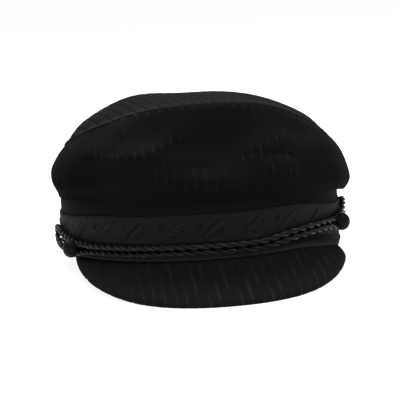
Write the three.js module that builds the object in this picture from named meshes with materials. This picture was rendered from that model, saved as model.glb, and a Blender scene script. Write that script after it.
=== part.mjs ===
// A black corduroy fisherman's captain hat: a soft crown of a side wall and a top panel, a head band,
// a braid ribbon round it, a doubled twisted cord held by two buttons, and a stiff cloth-covered peak.
//
// The hat's own frame: the peak points to -Y, X runs to the right as one faces the peak, Z is up, and
// Z = 0 is the plane of the band's lower rim. Angles are measured round the band from the front: 0 is
// the front, 90 is +X, -90 is -X, 180 is the back. The whole hat then leans back a little about its
// rear rim, as it does when it rests on the rim and the peak's front edge.
import * as THREE from 'three';

// Head band
const BAND_HALF_WIDTH = 93.5;
const BAND_HALF_DEPTH = 95.5;
const BAND_RADIUS = (BAND_HALF_WIDTH + BAND_HALF_DEPTH) / 2;
const BAND_HEIGHT = 37;
const BAND_WALL = 3;
const GAP = 0.35;

// How it stands
const LEAN_DEG = 4.6;
const RIM_FLATTENED = 0.8;

// How far the soft band sags at each side, in millimetres, and between which degrees from the front it
// comes and goes. On the right the rim and the ribbon sag, and on the left only the ribbon.
const RIGHT_SAG = { drop: 6, starts: 30, full: 66, eases: 78, ends: 125 };
const LEFT_SAG = { drop: 2.7, starts: 45, full: 80, eases: 100, ends: 145 };
const PEAK_SAG_REACH = 30;

// Crown
const CLOTH = 1.8;
const HEM_RADIUS = BAND_RADIUS + 0.45;
const HEM_INNER_RADIUS = BAND_RADIUS - 2.7;
const HEM_SLOPE = 6;
const DOUBLED_INSET = 1.1;
const DOUBLED_RISE = 1.8;
const DOUBLED_CLEARANCE = 2;
const TOP_HEIGHT = 100;

// Braid ribbon
const RIBBON_LOW = 10;
const RIBBON_WIDTH = 20;
const RIBBON_THICK = 1;

// Twisted cord and its buttons
const CORD_DIAMETER = 3.7;
const CORD_SIDES = 8;
const CORD_STEPS = 80;
const BUTTON_DIAMETER = 11.5;
const BUTTON_THICK = 6.5;
const BUTTON_RIM = 1;
const BUTTON_BACK_SHARE = 0.9;
const BUTTON_FULLNESS = 0.7;
const BUTTON_SIDES = 24;
const DOME_STEPS = 7;

// Peak
const PEAK_HALF_WIDTH = 87;
const PEAK_REACH = 48.5;
const PEAK_CORNER = 35;
const PEAK_ROUNDNESS = 2.2;
const PEAK_DROP_DEG = 19.4;
const PEAK_SIDE_BEND = 0.5;
const PEAK_BEND_REACH = 20;
const PEAK_THICK = 4;
const PEAK_JOIN_HEIGHT = 1.7;
const PEAK_JOIN_OFF = 0.5;
const PEAK_CORNER_LENGTH = 1.5;

// Mesh fineness
const STEPS_ROUND = 72;
const PEAK_COLUMNS = 44;
const NORMAL_STEP = 0.02;

// Crown sections, one row for each 30 degrees round. Each place is [radius, height] on the outer face:
// fold is the bottom of the cloth that hangs over the band, bulge the widest place, roll the upper
// side of that soft roll, hollow the dent above it, seam the edge of the top panel, and dome and tip
// are on the top panel. Radii are for a round band and are spread to the band's own oval.
const CROWN_SECTIONS = [
  // at    fold        bulge         roll         hollow       seam         dome       tip
  [-180, [101, 37], [106, 43], [107.5, 48], [106.5, 52], [104, 56], [84, 77], [44, 94.5]],
  [-150, [100, 38], [105, 45], [106.5, 50], [105, 54.5], [102, 58.5], [83, 79], [44, 96]],
  [-120, [98, 38], [103, 46], [103.5, 52], [101.5, 57], [97, 64], [80, 82.5], [43, 98]],
  [-90, [96, 39.5], [99.3, 47], [98, 54.5], [93, 62.5], [86, 73.5], [73.5, 88.5], [41, 100.3]],
  [-60, [98, 42], [102.5, 51], [97, 64], [88, 74.5], [76.5, 84], [63, 93], [40, 100.2]],
  [-30, [99, 43.5], [104.5, 52], [97.5, 67], [87, 77], [73.5, 92.8], [59, 97], [40, 99.6]],
  [0, [99, 42], [105, 50], [98.5, 59], [88, 71], [72, 95], [58, 98], [40, 99.4]],
  [30, [99, 38], [105, 46.5], [98, 64], [87.5, 76], [76.5, 91.7], [60, 95.6], [40, 98]],
  [60, [98.5, 33], [104.5, 41], [100, 58], [92.5, 69], [84, 76.5], [66, 88], [40, 97]],
  [90, [98, 31], [102.4, 37.8], [101.5, 45], [99.3, 51.5], [94.7, 58], [77.5, 79], [41, 95.5]],
  [120, [99.5, 33], [103.5, 39], [104, 44], [103, 49], [99.5, 54], [81, 76], [43, 94.5]],
  [150, [101, 35], [106, 41], [107, 45.5], [106, 49], [103.5, 53], [83, 75], [44, 93.5]],
];
const SECTION_STEP = 30;
const SEAM_STATION = 5;
const LAST_STATION = 8;

// Soft folds and dents of the crown: where each one is centred, its half length and half width in
// millimetres, how many degrees it turns from level, and how far it stands out (or in, if negative).
const CROWN_FOLDS = [
  // at, height, half length, half width, turn, lift
  [-20, 72, 20, 6, 38, 2.2],
  [-48, 76, 22, 6, 24, 1.8],
  [20, 69, 16, 6, 24, 2.2],
  [3, 70, 18, 12, -20, -3],
  [-6, 59, 10, 5, 0, -2],
  [24, 56, 15, 8, -10, 1.6],
];

// The cord's route, one closed loop held against the band: angle round the band, height above the rim,
// and how far its centre stands off the band's face. It runs along the front twice, passes under each
// button on both sides of the shank, and ends behind each button in a slack loop.
const CORD_ROUTE = [
  // at, height, off
  [-58, 10.9, 3.5],
  [-52, 10.4, 3.5],
  [-45, 10.4, 3.5],
  [-35, 10.4, 3.5],
  [-26.5, 10.5, 3.5],
  [-17, 10.7, 3.5],
  [-8, 10.5, 3.5],
  [2, 10.3, 3.5],
  [11, 10.2, 3.5],
  [18, 10.9, 3.5],
  [26, 13.0, 3.5],
  [36, 14.7, 3.5],
  [46, 15.1, 3.5],
  [54, 14.6, 3.5],
  [62, 15.5, 3.5],
  [69, 17.0, 3.5],
  [76, 20.2, 3.5],
  [82, 21.8, 3.5],
  [87, 20.4, 3.5],
  [88.5, 17.2, 3.5],
  [85, 14.4, 3.5],
  [78, 12.2, 3.5],
  [70, 10.0, 3.5],
  [60, 8.8, 3.5],
  [54, 10.4, 3.5],
  [46, 11.0, 3.5],
  [38, 10.7, 3.4],
  [30, 9.6, 3.1],
  [22, 7.6, 2.4],
  [14, 6.2, 2.2],
  [6, 6.2, 2.2],
  [-2, 6.5, 2.2],
  [-10, 6.7, 2.2],
  [-19, 6.6, 2.2],
  [-28, 6.2, 2.2],
  [-37, 6.0, 2.2],
  [-46, 6.1, 2.2],
  [-54, 6.1, 2.2],
  [-61, 4.9, 2.3],
  [-66, 4.1, 2.4],
  [-72, 4.5, 3.0],
  [-78, 6.0, 3.5],
  [-85, 7.8, 3.5],
  [-90, 10.2, 3.5],
  [-92, 13.4, 3.5],
  [-89, 16.4, 3.5],
  [-84, 17.2, 3.5],
  [-78, 15.6, 3.5],
  [-71, 12.8, 3.5],
  [-65, 11.5, 3.5],
];

// Buttons: where the middle of each one is on the band, and how far its back stands off the band's face
const LEFT_BUTTON = { at: -63.5, height: 7.7 };
const RIGHT_BUTTON = { at: 59.5, height: 12.1 };
const BUTTON_BACK = 5.6;
const SHANK_FOOT = RIBBON_THICK + GAP + 0.3;
const SHANK_RADIUS = 0.9;

const CORDUROY = { color: 0x0c0c0d, roughness: 0.95, metalness: 0 };
const BRAID = { color: 0x121110, roughness: 0.8, metalness: 0 };
const SATIN_CORD = { color: 0x101010, roughness: 0.45, metalness: 0 };
const BUTTON_FINISH = { color: 0x131313, roughness: 0.55, metalness: 0 };

const radians = THREE.MathUtils.degToRad;

// Smooth value between two rows of a table, with the rows before and after giving the slopes
function smooth(before, from, to, after, t) {
  const a = 2 * from;
  const b = (to - before) * t;
  const c = (2 * before - 5 * from + 4 * to - after) * t * t;
  const d = (3 * from - before - 3 * to + after) * t * t * t;
  return (a + b + c + d) / 2;
}

// A place on the band's oval: degrees round, millimetres up, millimetres off its face
function onBand(at, height, off) {
  const a = radians(at);
  return new THREE.Vector3(
    (BAND_HALF_WIDTH + off) * Math.sin(a),
    -(BAND_HALF_DEPTH + off) * Math.cos(a),
    height,
  );
}

function sideSag(degrees, { drop, starts, full, eases, ends }) {
  const { smoothstep } = THREE.MathUtils;
  return drop * smoothstep(degrees, starts, full) * (1 - smoothstep(degrees, eases, ends));
}

// How far the rim and the ribbon sag at an angle
const rimSag = (at) => sideSag(at, RIGHT_SAG);
const ribbonSag = (at) => rimSag(at) + sideSag(-at, LEFT_SAG);

// The outward direction of the band's face at an angle
function bandNormal(at) {
  const a = radians(at);
  return new THREE.Vector3(
    Math.sin(a) / BAND_HALF_WIDTH,
    -Math.cos(a) / BAND_HALF_DEPTH,
    0,
  ).normalize();
}

// Leans the hat back about its rear rim and presses the rim's lowest arc flat
function stand(point) {
  const lean = radians(LEAN_DEG);
  const y = point.y - BAND_HALF_DEPTH;
  return new THREE.Vector3(
    point.x,
    Math.cos(lean) * y + Math.sin(lean) * point.z + BAND_HALF_DEPTH,
    Math.max(0, -Math.sin(lean) * y + Math.cos(lean) * point.z - RIM_FLATTENED),
  );
}

// Crown outline at one angle, as [radius, height] stations from the hem to the top's middle
function crownOutline(at) {
  const rows = CROWN_SECTIONS.length;
  const turn = (((at + 180) % 360) + 360) % 360 / SECTION_STEP;
  const row = Math.floor(turn);
  const t = turn - row;
  const near = [-1, 0, 1, 2].map((k) => CROWN_SECTIONS[(row + k + rows) % rows].slice(1));
  const stations = near[1].map((_, station) => [0, 1].map((axis) => (
    smooth(...near.map((outline) => outline[station][axis]), t)
  )));
  return [[HEM_RADIUS, BAND_HEIGHT + GAP], ...stations, [0, TOP_HEIGHT]];
}

// A place along an outline, between its stations
function alongOutline(outline, place) {
  const station = Math.min(Math.floor(place), outline.length - 2);
  const first = [outline[0][0] - HEM_SLOPE, outline[0][1]];
  const last = outline[outline.length - 2];
  const before = station > 0 ? outline[station - 1] : first;
  const after = station < outline.length - 2 ? outline[station + 2] : [-last[0], last[1]];
  return [0, 1].map((axis) => smooth(
    before[axis],
    outline[station][axis],
    outline[station + 1][axis],
    after[axis],
    place - station,
  ));
}

// How far the folds lift the cloth at an angle and a height
function foldLift(at, height) {
  let lift = 0;
  for (const [foldAt, foldHeight, halfLength, halfWidth, turn, rise] of CROWN_FOLDS) {
    const across = radians(at - foldAt) * BAND_RADIUS;
    const up = height - foldHeight;
    const c = Math.cos(radians(turn));
    const s = Math.sin(radians(turn));
    const length = (c * across + s * up) / halfLength;
    const width = (c * up - s * across) / halfWidth;
    lift += rise * Math.exp(-length * length - width * width);
  }
  return lift;
}

// Outward direction [radius, height] of an outline at a place
function outlineNormal(outline, place) {
  const a = alongOutline(outline, Math.max(0, place - NORMAL_STEP));
  const b = alongOutline(outline, Math.min(LAST_STATION, place + NORMAL_STEP));
  const length = Math.hypot(b[0] - a[0], b[1] - a[1]);
  return [(b[1] - a[1]) / length, (a[0] - b[0]) / length];
}

// Crown's outer and inner faces at an angle and a place, nudged along the outline to leave a seam gap
function crownPair(at, place, nudge) {
  const outline = crownOutline(at);
  const normal = outlineNormal(outline, place);
  const lift = place >= 1 && place < LAST_STATION ? foldLift(at, alongOutline(outline, place)[1]) : 0;
  const outer = alongOutline(outline, place);
  outer[0] += normal[0] * lift - normal[1] * nudge;
  outer[1] += normal[1] * lift + normal[0] * nudge;
  const inner = [outer[0] - normal[0] * CLOTH, outer[1] - normal[1] * CLOTH];
  // Below the bulge the cloth is doubled, so the inner face runs straight down to the band
  const fold = outline[1];
  const lowest = [
    fold[0] - DOUBLED_INSET,
    Math.max(fold[1] + DOUBLED_RISE, BAND_HEIGHT + DOUBLED_CLEARANCE),
  ];
  if (place <= 1) {
    inner[0] = THREE.MathUtils.lerp(HEM_INNER_RADIUS, lowest[0], place);
    inner[1] = THREE.MathUtils.lerp(BAND_HEIGHT + GAP, lowest[1], place);
  } else if (place <= 2) {
    inner[0] = THREE.MathUtils.lerp(lowest[0], inner[0], place - 1);
    inner[1] = Math.max(inner[1], lowest[1] + place - 1);
  } else {
    inner[1] = Math.max(inner[1], lowest[1] + place - 1);
  }
  return [outer, inner];
}

function crownPoint(at, [radius, height]) {
  const a = radians(at);
  return stand(new THREE.Vector3(
    radius * Math.sin(a) * BAND_HALF_WIDTH / BAND_RADIUS,
    -radius * Math.cos(a) * BAND_HALF_DEPTH / BAND_RADIUS,
    height,
  ));
}

// A closed body from loops of points, each loop joined to the next and the last one to the first.
// Loops run round the hat. Where a loop is a single point, the faces there are triangles.
function bodyFromLoops(loops) {
  const positions = [];
  const starts = loops.map((loop) => {
    const start = positions.length / 3;
    loop.forEach((point) => positions.push(point.x, point.y, point.z));
    return start;
  });
  const faces = [];
  loops.forEach((loop, k) => {
    const next = (k + 1) % loops.length;
    const other = loops[next];
    const count = Math.max(loop.length, other.length);
    if (count === 1) {
      return;
    }
    for (let i = 0; i < count; i += 1) {
      const j = (i + 1) % count;
      const a = starts[k] + (loop.length === 1 ? 0 : i);
      const b = starts[k] + (loop.length === 1 ? 0 : j);
      const c = starts[next] + (other.length === 1 ? 0 : j);
      const d = starts[next] + (other.length === 1 ? 0 : i);
      if (a !== b) {
        faces.push(a, b, c);
      }
      if (c !== d) {
        faces.push(a, c, d);
      }
    }
  });
  return surface(positions, faces);
}

// A closed body from open rows of points: each row is a closed outline across the body, and the
// first and last rows are capped from their own first point
function bodyFromRows(rows) {
  const positions = [];
  rows.forEach((row) => row.forEach((point) => positions.push(point.x, point.y, point.z)));
  const count = rows[0].length;
  const faces = [];
  for (let k = 0; k < rows.length - 1; k += 1) {
    for (let i = 0; i < count; i += 1) {
      const j = (i + 1) % count;
      const a = k * count + i;
      const b = k * count + j;
      faces.push(a, b, b + count, a, b + count, a + count);
    }
  }
  const end = (rows.length - 1) * count;
  for (let i = 1; i < count - 1; i += 1) {
    faces.push(0, i + 1, i);
    faces.push(end, end + i, end + i + 1);
  }
  return surface(positions, faces);
}

function surface(positions, faces) {
  const geometry = new THREE.BufferGeometry();
  geometry.setAttribute('position', new THREE.Float32BufferAttribute(positions, 3));
  geometry.setIndex(faces);
  geometry.computeVertexNormals();
  return geometry;
}

function piece(name, geometry, finish) {
  const mesh = new THREE.Mesh(geometry, new THREE.MeshStandardMaterial(finish));
  mesh.name = name;
  return mesh;
}

const anglesRound = Array.from({ length: STEPS_ROUND }, (_, i) => -180 + 360 * i / STEPS_ROUND);

// A ring round the band: its outer and inner face between two heights, lowered by sag(at, height)
function ring(low, high, offInner, offOuter, cuts, sag) {
  const heights = Array.from({ length: cuts + 1 }, (_, i) => THREE.MathUtils.lerp(low, high, i / cuts));
  const loops = (off) => heights.map((height) => (
    anglesRound.map((at) => stand(onBand(at, height - sag(at, height), off)))
  ));
  return bodyFromLoops([...loops(offOuter), ...loops(offInner).reverse()]);
}

const makeBand = () => (
  ring(0, BAND_HEIGHT, -BAND_WALL, 0, 2, (at, height) => rimSag(at) * (1 - height / BAND_HEIGHT))
);
const makeRibbon = () => ring(RIBBON_LOW, RIBBON_LOW + RIBBON_WIDTH, GAP, GAP + RIBBON_THICK, 1, ribbonSag);

// Crown wall between two stations, as outer loops up and inner loops back down
function crownBody(places) {
  const outer = [];
  const inner = [];
  for (const [place, nudge] of places) {
    if (place >= LAST_STATION) {
      const [outerTop, innerTop] = crownPair(0, LAST_STATION, 0);
      outer.push([crownPoint(0, [0, outerTop[1]])]);
      inner.push([crownPoint(0, [0, innerTop[1]])]);
    } else {
      const pairs = anglesRound.map((at) => crownPair(at, place, nudge));
      outer.push(pairs.map((pair, i) => crownPoint(anglesRound[i], pair[0])));
      inner.push(pairs.map((pair, i) => crownPoint(anglesRound[i], pair[1])));
    }
  }
  return bodyFromLoops([...outer, ...inner.reverse()]);
}

const SIDE_PLACES = [0, 0.35, 0.7, 1, 1.35, 1.7, 2, 2.5, 3, 3.5, 4, 4.5];
const TOP_PLACES = [5.5, 6, 6.5, 7, 7.5];

function makeCrownSide() {
  const places = SIDE_PLACES.map((place) => [place, 0]);
  return crownBody([...places, [SEAM_STATION, -GAP / 2]]);
}

function makeCrownTop() {
  const places = TOP_PLACES.map((place) => [place, 0]);
  return crownBody([[SEAM_STATION, GAP / 2], ...places, [LAST_STATION, 0]]);
}

// The peak's outer edge: a rounded outline in plan, from one corner at the band to the other
function peakEdge(turn) {
  const s = Math.sin(turn);
  const c = Math.max(0, Math.cos(turn));
  const power = 2 / PEAK_ROUNDNESS;
  const front = BAND_HALF_DEPTH + PEAK_REACH - PEAK_CORNER;
  return [
    PEAK_HALF_WIDTH * Math.sign(s) * Math.abs(s) ** power,
    -PEAK_CORNER - front * c ** power,
  ];
}

function peakHeight(x, y) {
  const out = Math.max(0, Math.hypot(x / BAND_HALF_WIDTH, y / BAND_HALF_DEPTH) - 1) * BAND_HALF_DEPTH;
  const bend = PEAK_SIDE_BEND * (x / PEAK_HALF_WIDTH) ** 2 * Math.min(1, out / PEAK_BEND_REACH);
  const at = THREE.MathUtils.radToDeg(Math.atan2(x / BAND_HALF_WIDTH, -y / BAND_HALF_DEPTH));
  const sag = rimSag(at) * (1 - THREE.MathUtils.smoothstep(out, 0, PEAK_SAG_REACH));
  return PEAK_JOIN_HEIGHT - out * Math.tan(radians(PEAK_DROP_DEG)) - bend - sag;
}

// The peak: rows of its cross outline from the left corner to the right one
function makePeak() {
  const cornerAngle = Math.asin(PEAK_HALF_WIDTH / (BAND_HALF_WIDTH + PEAK_JOIN_OFF));
  // How far across from the band to the edge, and how full the thickness is there
  const across = [[0, 1], [0.25, 1], [0.5, 1], [0.75, 1], [0.92, 1], [0.98, 0.75], [1, 0.25]];
  const rows = [];
  for (let i = 0; i <= PEAK_COLUMNS; i += 1) {
    const turn = (i / PEAK_COLUMNS - 0.5) * Math.PI;
    const band = onBand(THREE.MathUtils.radToDeg(2 * turn / Math.PI * cornerAngle), 0, PEAK_JOIN_OFF);
    const [edgeX, edgeY] = peakEdge(turn);
    const top = [];
    const under = [];
    across.forEach(([t, fullness]) => {
      const x = THREE.MathUtils.lerp(band.x, edgeX, t);
      const y = THREE.MathUtils.lerp(band.y, Math.min(edgeY, band.y - PEAK_CORNER_LENGTH), t);
      const middle = peakHeight(x, y) - PEAK_THICK / 2;
      const half = PEAK_THICK / 2 * fullness;
      top.push(stand(new THREE.Vector3(x, y, middle + half)));
      under.push(stand(new THREE.Vector3(x, y, middle - half)));
    });
    rows.push([...top, ...under.reverse()]);
  }
  return bodyFromRows(rows);
}

// The twisted cord as one closed tube along its route
function makeCord() {
  const places = CORD_ROUTE.map(([at, height, off]) => stand(onBand(at, height, off)));
  const route = new THREE.CatmullRomCurve3(places, true);
  return new THREE.TubeGeometry(route, CORD_STEPS, CORD_DIAMETER / 2, CORD_SIDES, true);
}

// A domed button with a flat back on a short thread shank, turned about its own Y axis
function makeButton() {
  const radius = BUTTON_DIAMETER / 2;
  const shank = BUTTON_BACK - SHANK_FOOT;
  const back = radius * BUTTON_BACK_SHARE;
  const outline = [[0, -shank], [SHANK_RADIUS, -shank], [SHANK_RADIUS, 0], [back, 0]];
  for (let i = 0; i < DOME_STEPS; i += 1) {
    const turn = Math.PI / 2 * i / DOME_STEPS;
    const height = BUTTON_RIM + (BUTTON_THICK - BUTTON_RIM) * Math.sin(turn);
    outline.push([radius * Math.cos(turn) ** BUTTON_FULLNESS, height]);
  }
  outline.push([0, BUTTON_THICK]);
  return new THREE.LatheGeometry(outline.map(([x, y]) => new THREE.Vector2(x, y)), BUTTON_SIDES);
}

function placeButton(mesh, { at, height }) {
  const lean = new THREE.Quaternion().setFromAxisAngle(new THREE.Vector3(1, 0, 0), -radians(LEAN_DEG));
  mesh.position.copy(stand(onBand(at, height, BUTTON_BACK)));
  mesh.quaternion.setFromUnitVectors(new THREE.Vector3(0, 1, 0), bandNormal(at)).premultiply(lean);
  return mesh;
}

const hat = new THREE.Group();
hat.add(
  piece('crown_top', makeCrownTop(), CORDUROY),
  piece('crown_side', makeCrownSide(), CORDUROY),
  piece('head_band', makeBand(), CORDUROY),
  piece('braid_ribbon', makeRibbon(), BRAID),
  piece('trim_cord', makeCord(), SATIN_CORD),
  placeButton(piece('left_button', makeButton(), BUTTON_FINISH), LEFT_BUTTON),
  placeButton(piece('right_button', makeButton(), BUTTON_FINISH), RIGHT_BUTTON),
  piece('peak', makePeak(), CORDUROY),
);

// The origin is the middle of the hat's outline on the surface that it stands on
const outlineBox = new THREE.Box3().setFromObject(hat, true);
const middle = outlineBox.getCenter(new THREE.Vector3());
const group = new THREE.Group();
hat.position.set(-middle.x, -middle.y, 0);
group.add(hat);

export default group;
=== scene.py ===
# %% [markdown]
# A black corduroy captain hat, built on a frame of plain solids.
# The frame gives each piece its place. The cells below give the pieces their cloth, wales, cord and braid.

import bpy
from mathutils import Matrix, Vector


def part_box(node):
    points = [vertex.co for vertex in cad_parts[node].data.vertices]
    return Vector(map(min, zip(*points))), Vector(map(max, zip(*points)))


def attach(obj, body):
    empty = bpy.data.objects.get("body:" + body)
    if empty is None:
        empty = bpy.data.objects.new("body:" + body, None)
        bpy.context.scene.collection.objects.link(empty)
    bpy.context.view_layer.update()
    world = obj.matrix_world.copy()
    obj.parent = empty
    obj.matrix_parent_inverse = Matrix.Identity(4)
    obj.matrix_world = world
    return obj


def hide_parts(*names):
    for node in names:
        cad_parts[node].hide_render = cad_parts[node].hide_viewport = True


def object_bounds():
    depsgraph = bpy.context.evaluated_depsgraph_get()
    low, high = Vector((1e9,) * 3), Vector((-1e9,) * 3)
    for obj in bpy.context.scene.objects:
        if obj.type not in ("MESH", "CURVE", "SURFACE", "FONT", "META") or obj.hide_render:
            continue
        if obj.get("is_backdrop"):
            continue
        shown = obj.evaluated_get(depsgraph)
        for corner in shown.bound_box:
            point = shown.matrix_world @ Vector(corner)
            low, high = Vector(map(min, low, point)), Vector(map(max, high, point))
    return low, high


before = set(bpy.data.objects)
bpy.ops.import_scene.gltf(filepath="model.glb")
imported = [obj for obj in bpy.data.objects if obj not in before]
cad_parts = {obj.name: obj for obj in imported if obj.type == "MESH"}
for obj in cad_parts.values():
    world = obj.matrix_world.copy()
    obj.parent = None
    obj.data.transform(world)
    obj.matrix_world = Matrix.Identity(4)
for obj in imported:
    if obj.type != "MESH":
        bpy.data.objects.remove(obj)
cad_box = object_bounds()
print("frame pieces:", ", ".join(sorted(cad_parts)))

# %% [markdown]
# All sizes are typed in millimetres, as a hat maker would note them, and turned to metres at the end.
# The hat has its own frame: the peak points to -Y, and angles go round the band from the front, with 90
# at +X. It leans back a little, because it stands on the rear of its rim and on the front edge of its
# peak. The place of the band in the loaded frame says where the middle of that frame is.

# %% Sizes of the band and how the hat stands
import math

import bpy
import numpy as np
from mathutils import Matrix, Vector

MM = 0.001
BAND_HALF_WIDTH = 93.5
BAND_HALF_DEPTH = 95.5
BAND_RADIUS = (BAND_HALF_WIDTH + BAND_HALF_DEPTH) / 2
BAND_HEIGHT = 37
BAND_WALL = 3
GAP = 0.35
LEAN = math.radians(4.6)
RIM_FLATTENED = 0.8

band_low, band_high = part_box("head_band")
MIDDLE_X = (band_low.x + band_high.x) / 2 / MM
MIDDLE_Y = band_high.y / MM - BAND_HALF_DEPTH - math.sin(LEAN) * BAND_HEIGHT


def to_frame(points):
    """Points in the hat's own millimetres, leaned back and set down, in the frame's metres."""
    x, y, z = np.moveaxis(np.asarray(points, float), -1, 0)
    back = y - BAND_HALF_DEPTH
    leaned_y = math.cos(LEAN) * back + math.sin(LEAN) * z + BAND_HALF_DEPTH
    leaned_z = -math.sin(LEAN) * back + math.cos(LEAN) * z - RIM_FLATTENED
    return np.stack([x + MIDDLE_X, leaned_y + MIDDLE_Y, np.maximum(leaned_z, 0)], -1) * MM


def on_band(at, height, off):
    """Points on the band's oval: degrees round, millimetres up, millimetres off its face."""
    turn = np.radians(at)
    x = (BAND_HALF_WIDTH + off) * np.sin(turn)
    y = -(BAND_HALF_DEPTH + off) * np.cos(turn)
    return np.stack(np.broadcast_arrays(x, y, height), -1)


def step_up(value, start, end):
    """Rises smoothly from 0 at start to 1 at end."""
    share = np.clip((value - start) / (end - start), 0, 1)
    return share * share * (3 - 2 * share)


print(f"the band's middle is at x {MIDDLE_X:.2f} mm, y {MIDDLE_Y:.2f} mm")

# %% [markdown]
# The soft band sags at the sides. On the right its rim and the ribbon on it hang lower, and on the left only
# the ribbon does.

# %% How the band sags
RIGHT_SAG = (6, 30, 66, 78, 125)
LEFT_SAG = (2.7, 45, 80, 100, 145)
PEAK_SAG_REACH = 30


def side_sag(degrees, drop, starts, full, eases, ends):
    """How far one side sags in millimetres, at degrees from the front."""
    return drop * step_up(degrees, starts, full) * (1 - step_up(degrees, eases, ends))


def rim_sag(at):
    return side_sag(at, *RIGHT_SAG)


def ribbon_sag(at):
    return rim_sag(at) + side_sag(-at, *LEFT_SAG)


print("at 80 degrees the rim hangs", round(float(rim_sag(80)), 1), "mm lower")

# %% [markdown]
# The camera looks at the hat's front from a little above and a little to its left, as a product photographer
# would with a long lens. It is turned a few degrees about its own axis, because the hat isn't quite level.

# %% Camera
CAMERA_AZIMUTH = math.radians(-6.8)
CAMERA_ELEVATION = LEAN + math.radians(5.9)
CAMERA_DISTANCE = 900
CAMERA_ROLL = math.radians(-3.1)
CAMERA_TILT = math.radians(-1.31)
CAMERA_PAN = math.radians(-0.095)
CAMERA_TARGET = Vector(to_frame((0, -3.7, 48)))
CAMERA_SENSOR = 36
CAMERA_LENS = 119.8

back = Vector((
    math.sin(CAMERA_AZIMUTH) * math.cos(CAMERA_ELEVATION),
    -math.cos(CAMERA_AZIMUTH) * math.cos(CAMERA_ELEVATION),
    math.sin(CAMERA_ELEVATION),
))
camera_data = bpy.data.cameras.new("camera")
camera_data.sensor_width = CAMERA_SENSOR
camera_data.lens = CAMERA_LENS
camera = bpy.data.objects.new("camera", camera_data)
bpy.context.scene.collection.objects.link(camera)
camera.location = CAMERA_TARGET + back * CAMERA_DISTANCE * MM
turned = back.to_track_quat("Z", "Y").to_matrix()
turned = turned @ Matrix.Rotation(CAMERA_ROLL, 3, "Z")
turned = turned @ Matrix.Rotation(CAMERA_TILT, 3, "X") @ Matrix.Rotation(CAMERA_PAN, 3, "Y")
camera.rotation_euler = turned.to_euler()
bpy.context.scene.camera = camera
print("camera at", [round(c, 3) for c in camera.location])

# %% [markdown]
# A cloth piece starts as Blender's flat grid, like a cut of cloth on the table. Each vertex of the grid is
# then placed by its row and column, and the edges that meet are merged, as if sewn. The grid gives even
# quads and a UV map, and one helper does this for every cloth piece.

# %% Make a cloth piece from a grid
MERGE_WITHIN = 0.01
DISSOLVE_BELOW = 0.005
UV_UNIT = 10


def deselect():
    """Leaves nothing selected, so that an operator acts on the new piece alone."""
    if bpy.context.mode != "OBJECT":
        bpy.ops.object.mode_set(mode="OBJECT")
    bpy.ops.object.select_all(action="DESELECT")


def sewn_grid(name, points, uv, marks=None, back_rows=()):
    """A closed mesh from rows of points, in the hat's own millimetres. Rows that meet themselves are merged.
    uv has two numbers for each point, marks are named numbers for each point, and the faces of back_rows
    take the second material."""
    rows, columns = points.shape[:2]
    deselect()
    bpy.ops.mesh.primitive_grid_add(x_subdivisions=columns - 1, y_subdivisions=rows - 1, size=1)
    piece = bpy.context.object
    piece.name = name
    piece.data.name = name
    mesh = piece.data
    mesh.vertices.foreach_set("co", to_frame(points).astype(np.float32).ravel())
    corners = np.zeros(len(mesh.loops), np.int32)
    mesh.loops.foreach_get("vertex_index", corners)
    flat = np.asarray(uv, np.float32).reshape(-1, 2)[corners]
    mesh.uv_layers[0].data.foreach_set("uv", flat.ravel())
    for mark, values in (marks or {}).items():
        layer = mesh.attributes.new(mark, "FLOAT", "POINT")
        layer.data.foreach_set("value", np.asarray(values, np.float32).ravel())
    face_rows = np.repeat(np.arange(rows - 1), columns - 1)
    slots = np.isin(face_rows, list(back_rows)).astype(np.int32)
    mesh.polygons.foreach_set("material_index", slots)
    mesh.update()
    bpy.ops.object.mode_set(mode="EDIT")
    bpy.ops.mesh.select_all(action="SELECT")
    bpy.ops.mesh.remove_doubles(threshold=MERGE_WITHIN * MM)
    bpy.ops.mesh.dissolve_degenerate(threshold=DISSOLVE_BELOW * MM)
    bpy.ops.object.mode_set(mode="OBJECT")
    bpy.ops.object.shade_smooth()
    print(name, "has", len(mesh.vertices), "vertices and", len(mesh.polygons), "faces")
    return piece


def finish_piece(piece, node, slot, *finishes):
    """Puts a piece in the place of its plain solid, and gives it its materials."""
    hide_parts(node)
    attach(piece, "root")
    piece.data.materials.clear()
    for finish in finishes:
        piece.data.materials.append(finish)
    print(piece.name, "is finished in", " and ".join(finish.name for finish in finishes))


# %% [markdown]
# Corduroy is woven with rows of cut pile, the wales, with the bare ground weave in the groove between two
# wales. A wale is wide and round on top, and its sides fall steeply into a narrow groove. This hat's cloth
# has a wide wale of a little over 6 mm, so the wales are real relief here and not only a bump in a material.
# Thick pile closes over its grooves where the cloth lies flat, and the grooves open where it bends. Soft
# cloth isn't even either: some wales are crushed flatter than others, and they wander a little.

# %% Wales
WALE_PITCH = 6.2
WALE_RISE = 1.1
WALE_SHARPNESS = 6
WALE_TOP_SHARE = 0.2
RIPPLE_WAVES = [
    # share, steps along the first length, steps along the second, turn for each seed, start
    [1, 1, 0.37, 1.7, 0],
    [1, -0.53, 0.71, 2.9, 1.3],
    [0.6, 1.0106, 1.304, 4.1, 0.5],
]


def groove(wale):
    """How far into a groove a place is, from 0 on the top of a wale to 1. Grooves are at whole numbers."""
    return np.abs(2 * (wale % 1) - 1) ** WALE_SHARPNESS


def wale_relief(wale, height):
    """Millimetres that the pile stands out of the cloth's middle face. Height is 1 for a full wale."""
    return WALE_RISE * height * (WALE_TOP_SHARE - groove(wale))


def ripple(first, second, amount, wave, seed):
    """A smooth uneven value over two lengths in millimetres, up to amount each way, the same on each run."""
    turn = 2 * math.pi / wave
    total = 0
    for share, on_first, on_second, seed_turn, start in RIPPLE_WAVES:
        place = on_first * first + on_second * second
        total = total + share * np.sin(turn * place + seed_turn * seed + start)
    return amount * total / sum(row[0] for row in RIPPLE_WAVES)


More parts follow.
